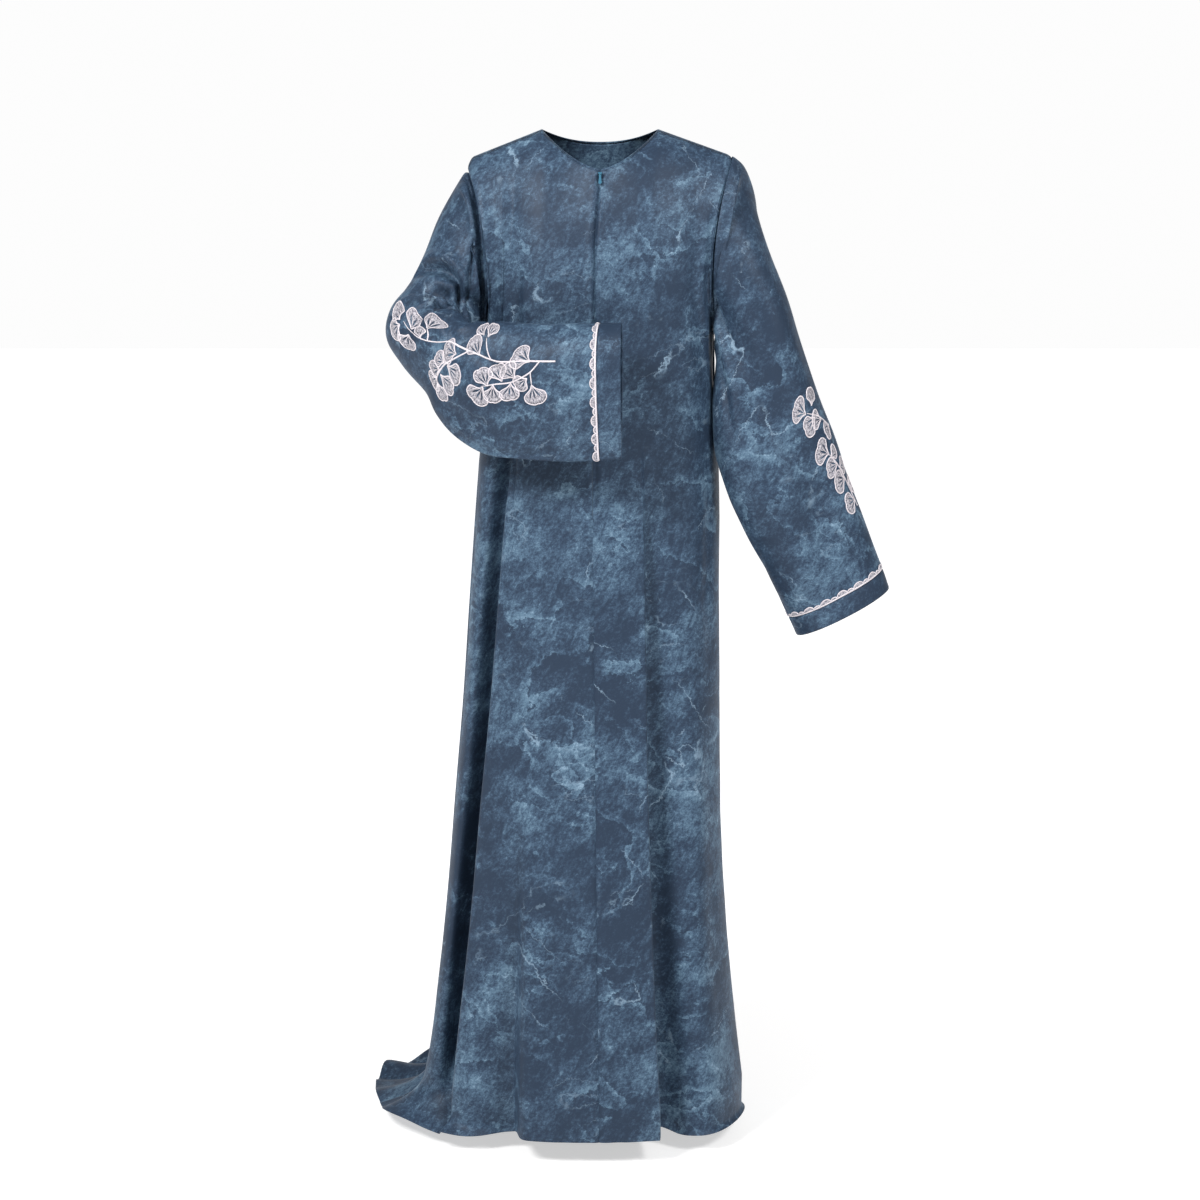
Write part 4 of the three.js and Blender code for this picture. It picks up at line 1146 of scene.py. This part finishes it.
# %% The layout
LAYOUT = {
    "right": (
        [
            ([(86, 148), (122, 145), (165, 143), (212, 138), (254, 117), (284, 100), (318, 79),
              (334, 72)], 2.6),
            ([(108, 146), (122, 128), (144, 115), (168, 110), (186, 101)], 2.1),
            ([(224, 133), (236, 112), (247, 90), (251, 70), (252, 54)], 2.1),
            ([(184, 142), (196, 154), (205, 166)], 2.0),
            ([(120, 130), (117, 112)], 1.6),
            ([(296, 92), (304, 101), (314, 108)], 1.9),
        ],
        [
            (117, 112, 248, 27), (124, 121, 318, 20), (147, 113, 268, 24), (170, 109, 264, 25),
            (183, 101, 292, 27), (122, 144, 22, 29), (140, 120, 42, 26), (159, 115, 58, 26),
            (177, 105, 50, 24), (204, 139, 22, 28), (212, 166, 14, 23), (203, 168, 84, 23),
            (240, 113, 330, 26), (249, 88, 338, 20), (251, 74, 316, 22), (252, 60, 290, 20),
            (250, 54, 214, 20), (248, 70, 182, 24), (244, 90, 172, 26),
            (314, 108, 68, 30), (325, 79, 48, 25), (337, 65, 320, 23), (332, 64, 264, 23),
            (320, 70, 228, 22), (306, 88, 26, 19),
        ],
    ),
    "left": (
        [
            ([(126, 26), (150, 30), (172, 36), (194, 46), (214, 60)], 1.9),
            ([(240, 32), (262, 56), (280, 80)], 1.8),
        ],
        [
            (280, 82, 40, 27), (282, 66, 330, 21), (267, 66, 104, 25), (256, 52, 62, 23),
            (240, 34, 98, 19), (214, 60, 50, 26), (208, 58, 284, 18), (194, 46, 80, 24),
            (188, 43, 262, 19), (170, 36, 82, 25), (160, 32, 268, 18), (136, 27, 86, 26),
            (146, 28, 304, 18),
        ],
    ),
}


def embroider(side):
    cords, pads = Threads(charts[side]), Threads(charts[side])
    stems, leaves = LAYOUT[side]
    for line, wide in stems:
        stem(cords, line, wide)
    for i, (away, round_to, heading, size) in enumerate(leaves):
        leaf(cords, pads, (away, round_to), heading, size * 1.06, 96 + 12 * math.sin(i * 1.7), i * 2.1)
    return (cords.piece(f"embroidery_{side}_cord", cord_thread),
            pads.piece(f"embroidery_{side}_fill", fill_thread))


embroidery = {side: embroider(side) for side in charts}

# %% [markdown]
# ## The zip
# Only the slider and its pull show, at the bottom of the V. Below them a thin coil lies in the
# groove between the two fronts. Its length is a guess, because the closed fronts hide it.

# %% Slider, pull and coil
def painted(name, color):
    return new_material(name, {"Base Color": (*color, 1), "Roughness": 0.32, "Metallic": 0.25,
                               "Coat Weight": 0.5})[0]


zip_paint = painted("zip_paint", (0.030, 0.125, 0.20))
coil_paint = painted("coil_paint", (0.020, 0.040, 0.065))


def softened(name, source, wide):
    """A copy of a plain solid of the model, with its edges rounded."""
    piece = new_object(name, bpy.data.objects[source].data.copy())
    piece.data.materials.clear()
    piece.data.materials.append(zip_paint)
    bevel = piece.modifiers.new("rounding", "BEVEL")
    bevel.width, bevel.segments, bevel.limit_method = wide * MM, 2, "ANGLE"
    bevel.angle_limit = math.radians(40)
    piece.data.shade_smooth()
    return piece


slider = softened("slider_piece", "zip_slider", 0.18)
pull = softened("pull_piece", "zip_pull", 0.15)
levels = np.arange(-84.0, ZIP_END, -0.55)
edge = on_front_left[::-1, 0]
centre = np.stack([np.interp(levels, edge[:, 2], edge[:, k]) for k in range(3)], -1)
ring = np.linspace(0, 2 * math.pi, 7)[:-1]
girth = 0.75 + 0.3 * (np.arange(len(levels)) % 2)
coil = np.stack([
    centre[:, :1] + girth[:, None] * np.cos(ring),
    centre[:, 1:2] + 0.4 + girth[:, None] * 0.6 * np.sin(ring),
    centre[:, 2:] + 0 * ring,
], -1) * MM
count = len(levels)
faces = [(i * 6 + k, i * 6 + (k + 1) % 6, (i + 1) * 6 + (k + 1) % 6, (i + 1) * 6 + k)
         for i in range(count - 1) for k in range(6)]
faces += [(5, 4, 3, 2, 1, 0), tuple(range((count - 1) * 6, count * 6))]
coil = soft_mesh("zip_coil", coil.reshape(-1, 3), faces, coil_paint)

# %% [markdown]
# ## Floor and light
# A pale floor that glows more the further it is, which is painted light standing in for studio light
# on it, a white surround that is brighter behind than in front, and two large soft lights from the
# front.
# The right one is half as strong again as the left one, so that folds have a light and a dark side.

# %% Floor
bm = bmesh.new()
bmesh.ops.create_grid(bm, x_segments=1, y_segments=1, size=12)
bmesh.ops.translate(bm, verts=bm.verts, vec=(0, 0, FLOOR * MM))
floor_mesh = bpy.data.meshes.new("floor")
bm.to_mesh(floor_mesh)
bm.free()
floor = new_object("floor", floor_mesh)
floor_paint, tree, shader = new_material("floor_paint", {
    "Base Color": (0.62, 0.615, 0.61, 1), "Roughness": 0.8, "Emission Color": (1, 1, 1, 1)})
far = node(tree, "ShaderNodeTexCoord").outputs["Object"]
far = node(tree, "ShaderNodeVectorMath", {0: far}, operation="LENGTH").outputs["Value"]
# Painted light: the floor's emission stands in for the studio light on it, weaker under the garment
# and stronger further away.
painted_floor_light = plus(tree, 0.30, ramp(tree, far, 0.4, 2.6), 0.50)
tree.links.new(painted_floor_light, shader.inputs["Emission Strength"])
floor_mesh.materials.append(floor_paint)

# %% Light
def soft_light(name, place, size, power):
    data = bpy.data.lights.new(name, "AREA")
    data.size, data.energy = size, power
    light = new_object(name, data)
    light.location = place
    away = -light.location
    away.z -= 0.75
    light.rotation_mode = "QUATERNION"
    light.rotation_quaternion = away.to_track_quat("-Z", "Y")


soft_light("right", (-2.6, -3.1, 2.6), 1.2, 292)
soft_light("left", (2.6, -3.1, 2.6), 1.2, 192)
world = bpy.data.worlds.new("surround")
world.use_nodes = True
tree = world.node_tree
toward = node(tree, "ShaderNodeNewGeometry").outputs["Position"]
toward = node(tree, "ShaderNodeSeparateXYZ", {"Vector": toward})
behind = ramp(tree, toward.outputs["Y"], 0.72, 0.92)
strength = plus(tree, 0.28, behind, 0.70)
tree.links.new(strength, tree.nodes["Background"].inputs["Strength"])
tree.nodes["Background"].inputs["Color"].default_value = (1, 1, 1, 1)
bpy.context.scene.world = world
bpy.context.scene.view_settings.view_transform = "Standard"

# %% [markdown]
# ## What each piece stands for
# Each visible piece is hung on the body that carries it, and the nodes of the model that it replaces
# are hidden. The areas of the fronts and the back were set to what the built cloth measures, so they
# agree with it and don't test it.

# %% Nodes and bodies
for piece, nodes in (
    (piece_front_right, ("front_right_chest", "front_right_skirt")),
    (piece_front_left, ("front_left_chest", "front_left_skirt")),
    (piece_back, ("back_chest", "back_skirt")),
    (sleeves["right"]["cloth"], ("sleeve_right_upper", "sleeve_right_lower")),
    (sleeves["left"]["cloth"], ("sleeve_left_upper", "sleeve_left_lower")),
    (sleeves["right"]["cuff"], ("cuff_right",)),
    (sleeves["left"]["cuff"], ("cuff_left",)),
):
    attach(piece, "root")
    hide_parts(*nodes)

for side in charts:
    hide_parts(f"trim_{side}")
    for piece in (*trims[side], *embroidery[side]):
        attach(piece, "root")

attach(slider, "root")
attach(coil, "root")
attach(pull, "zip_pull")
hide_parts("zip_slider")
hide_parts("zip_pull")
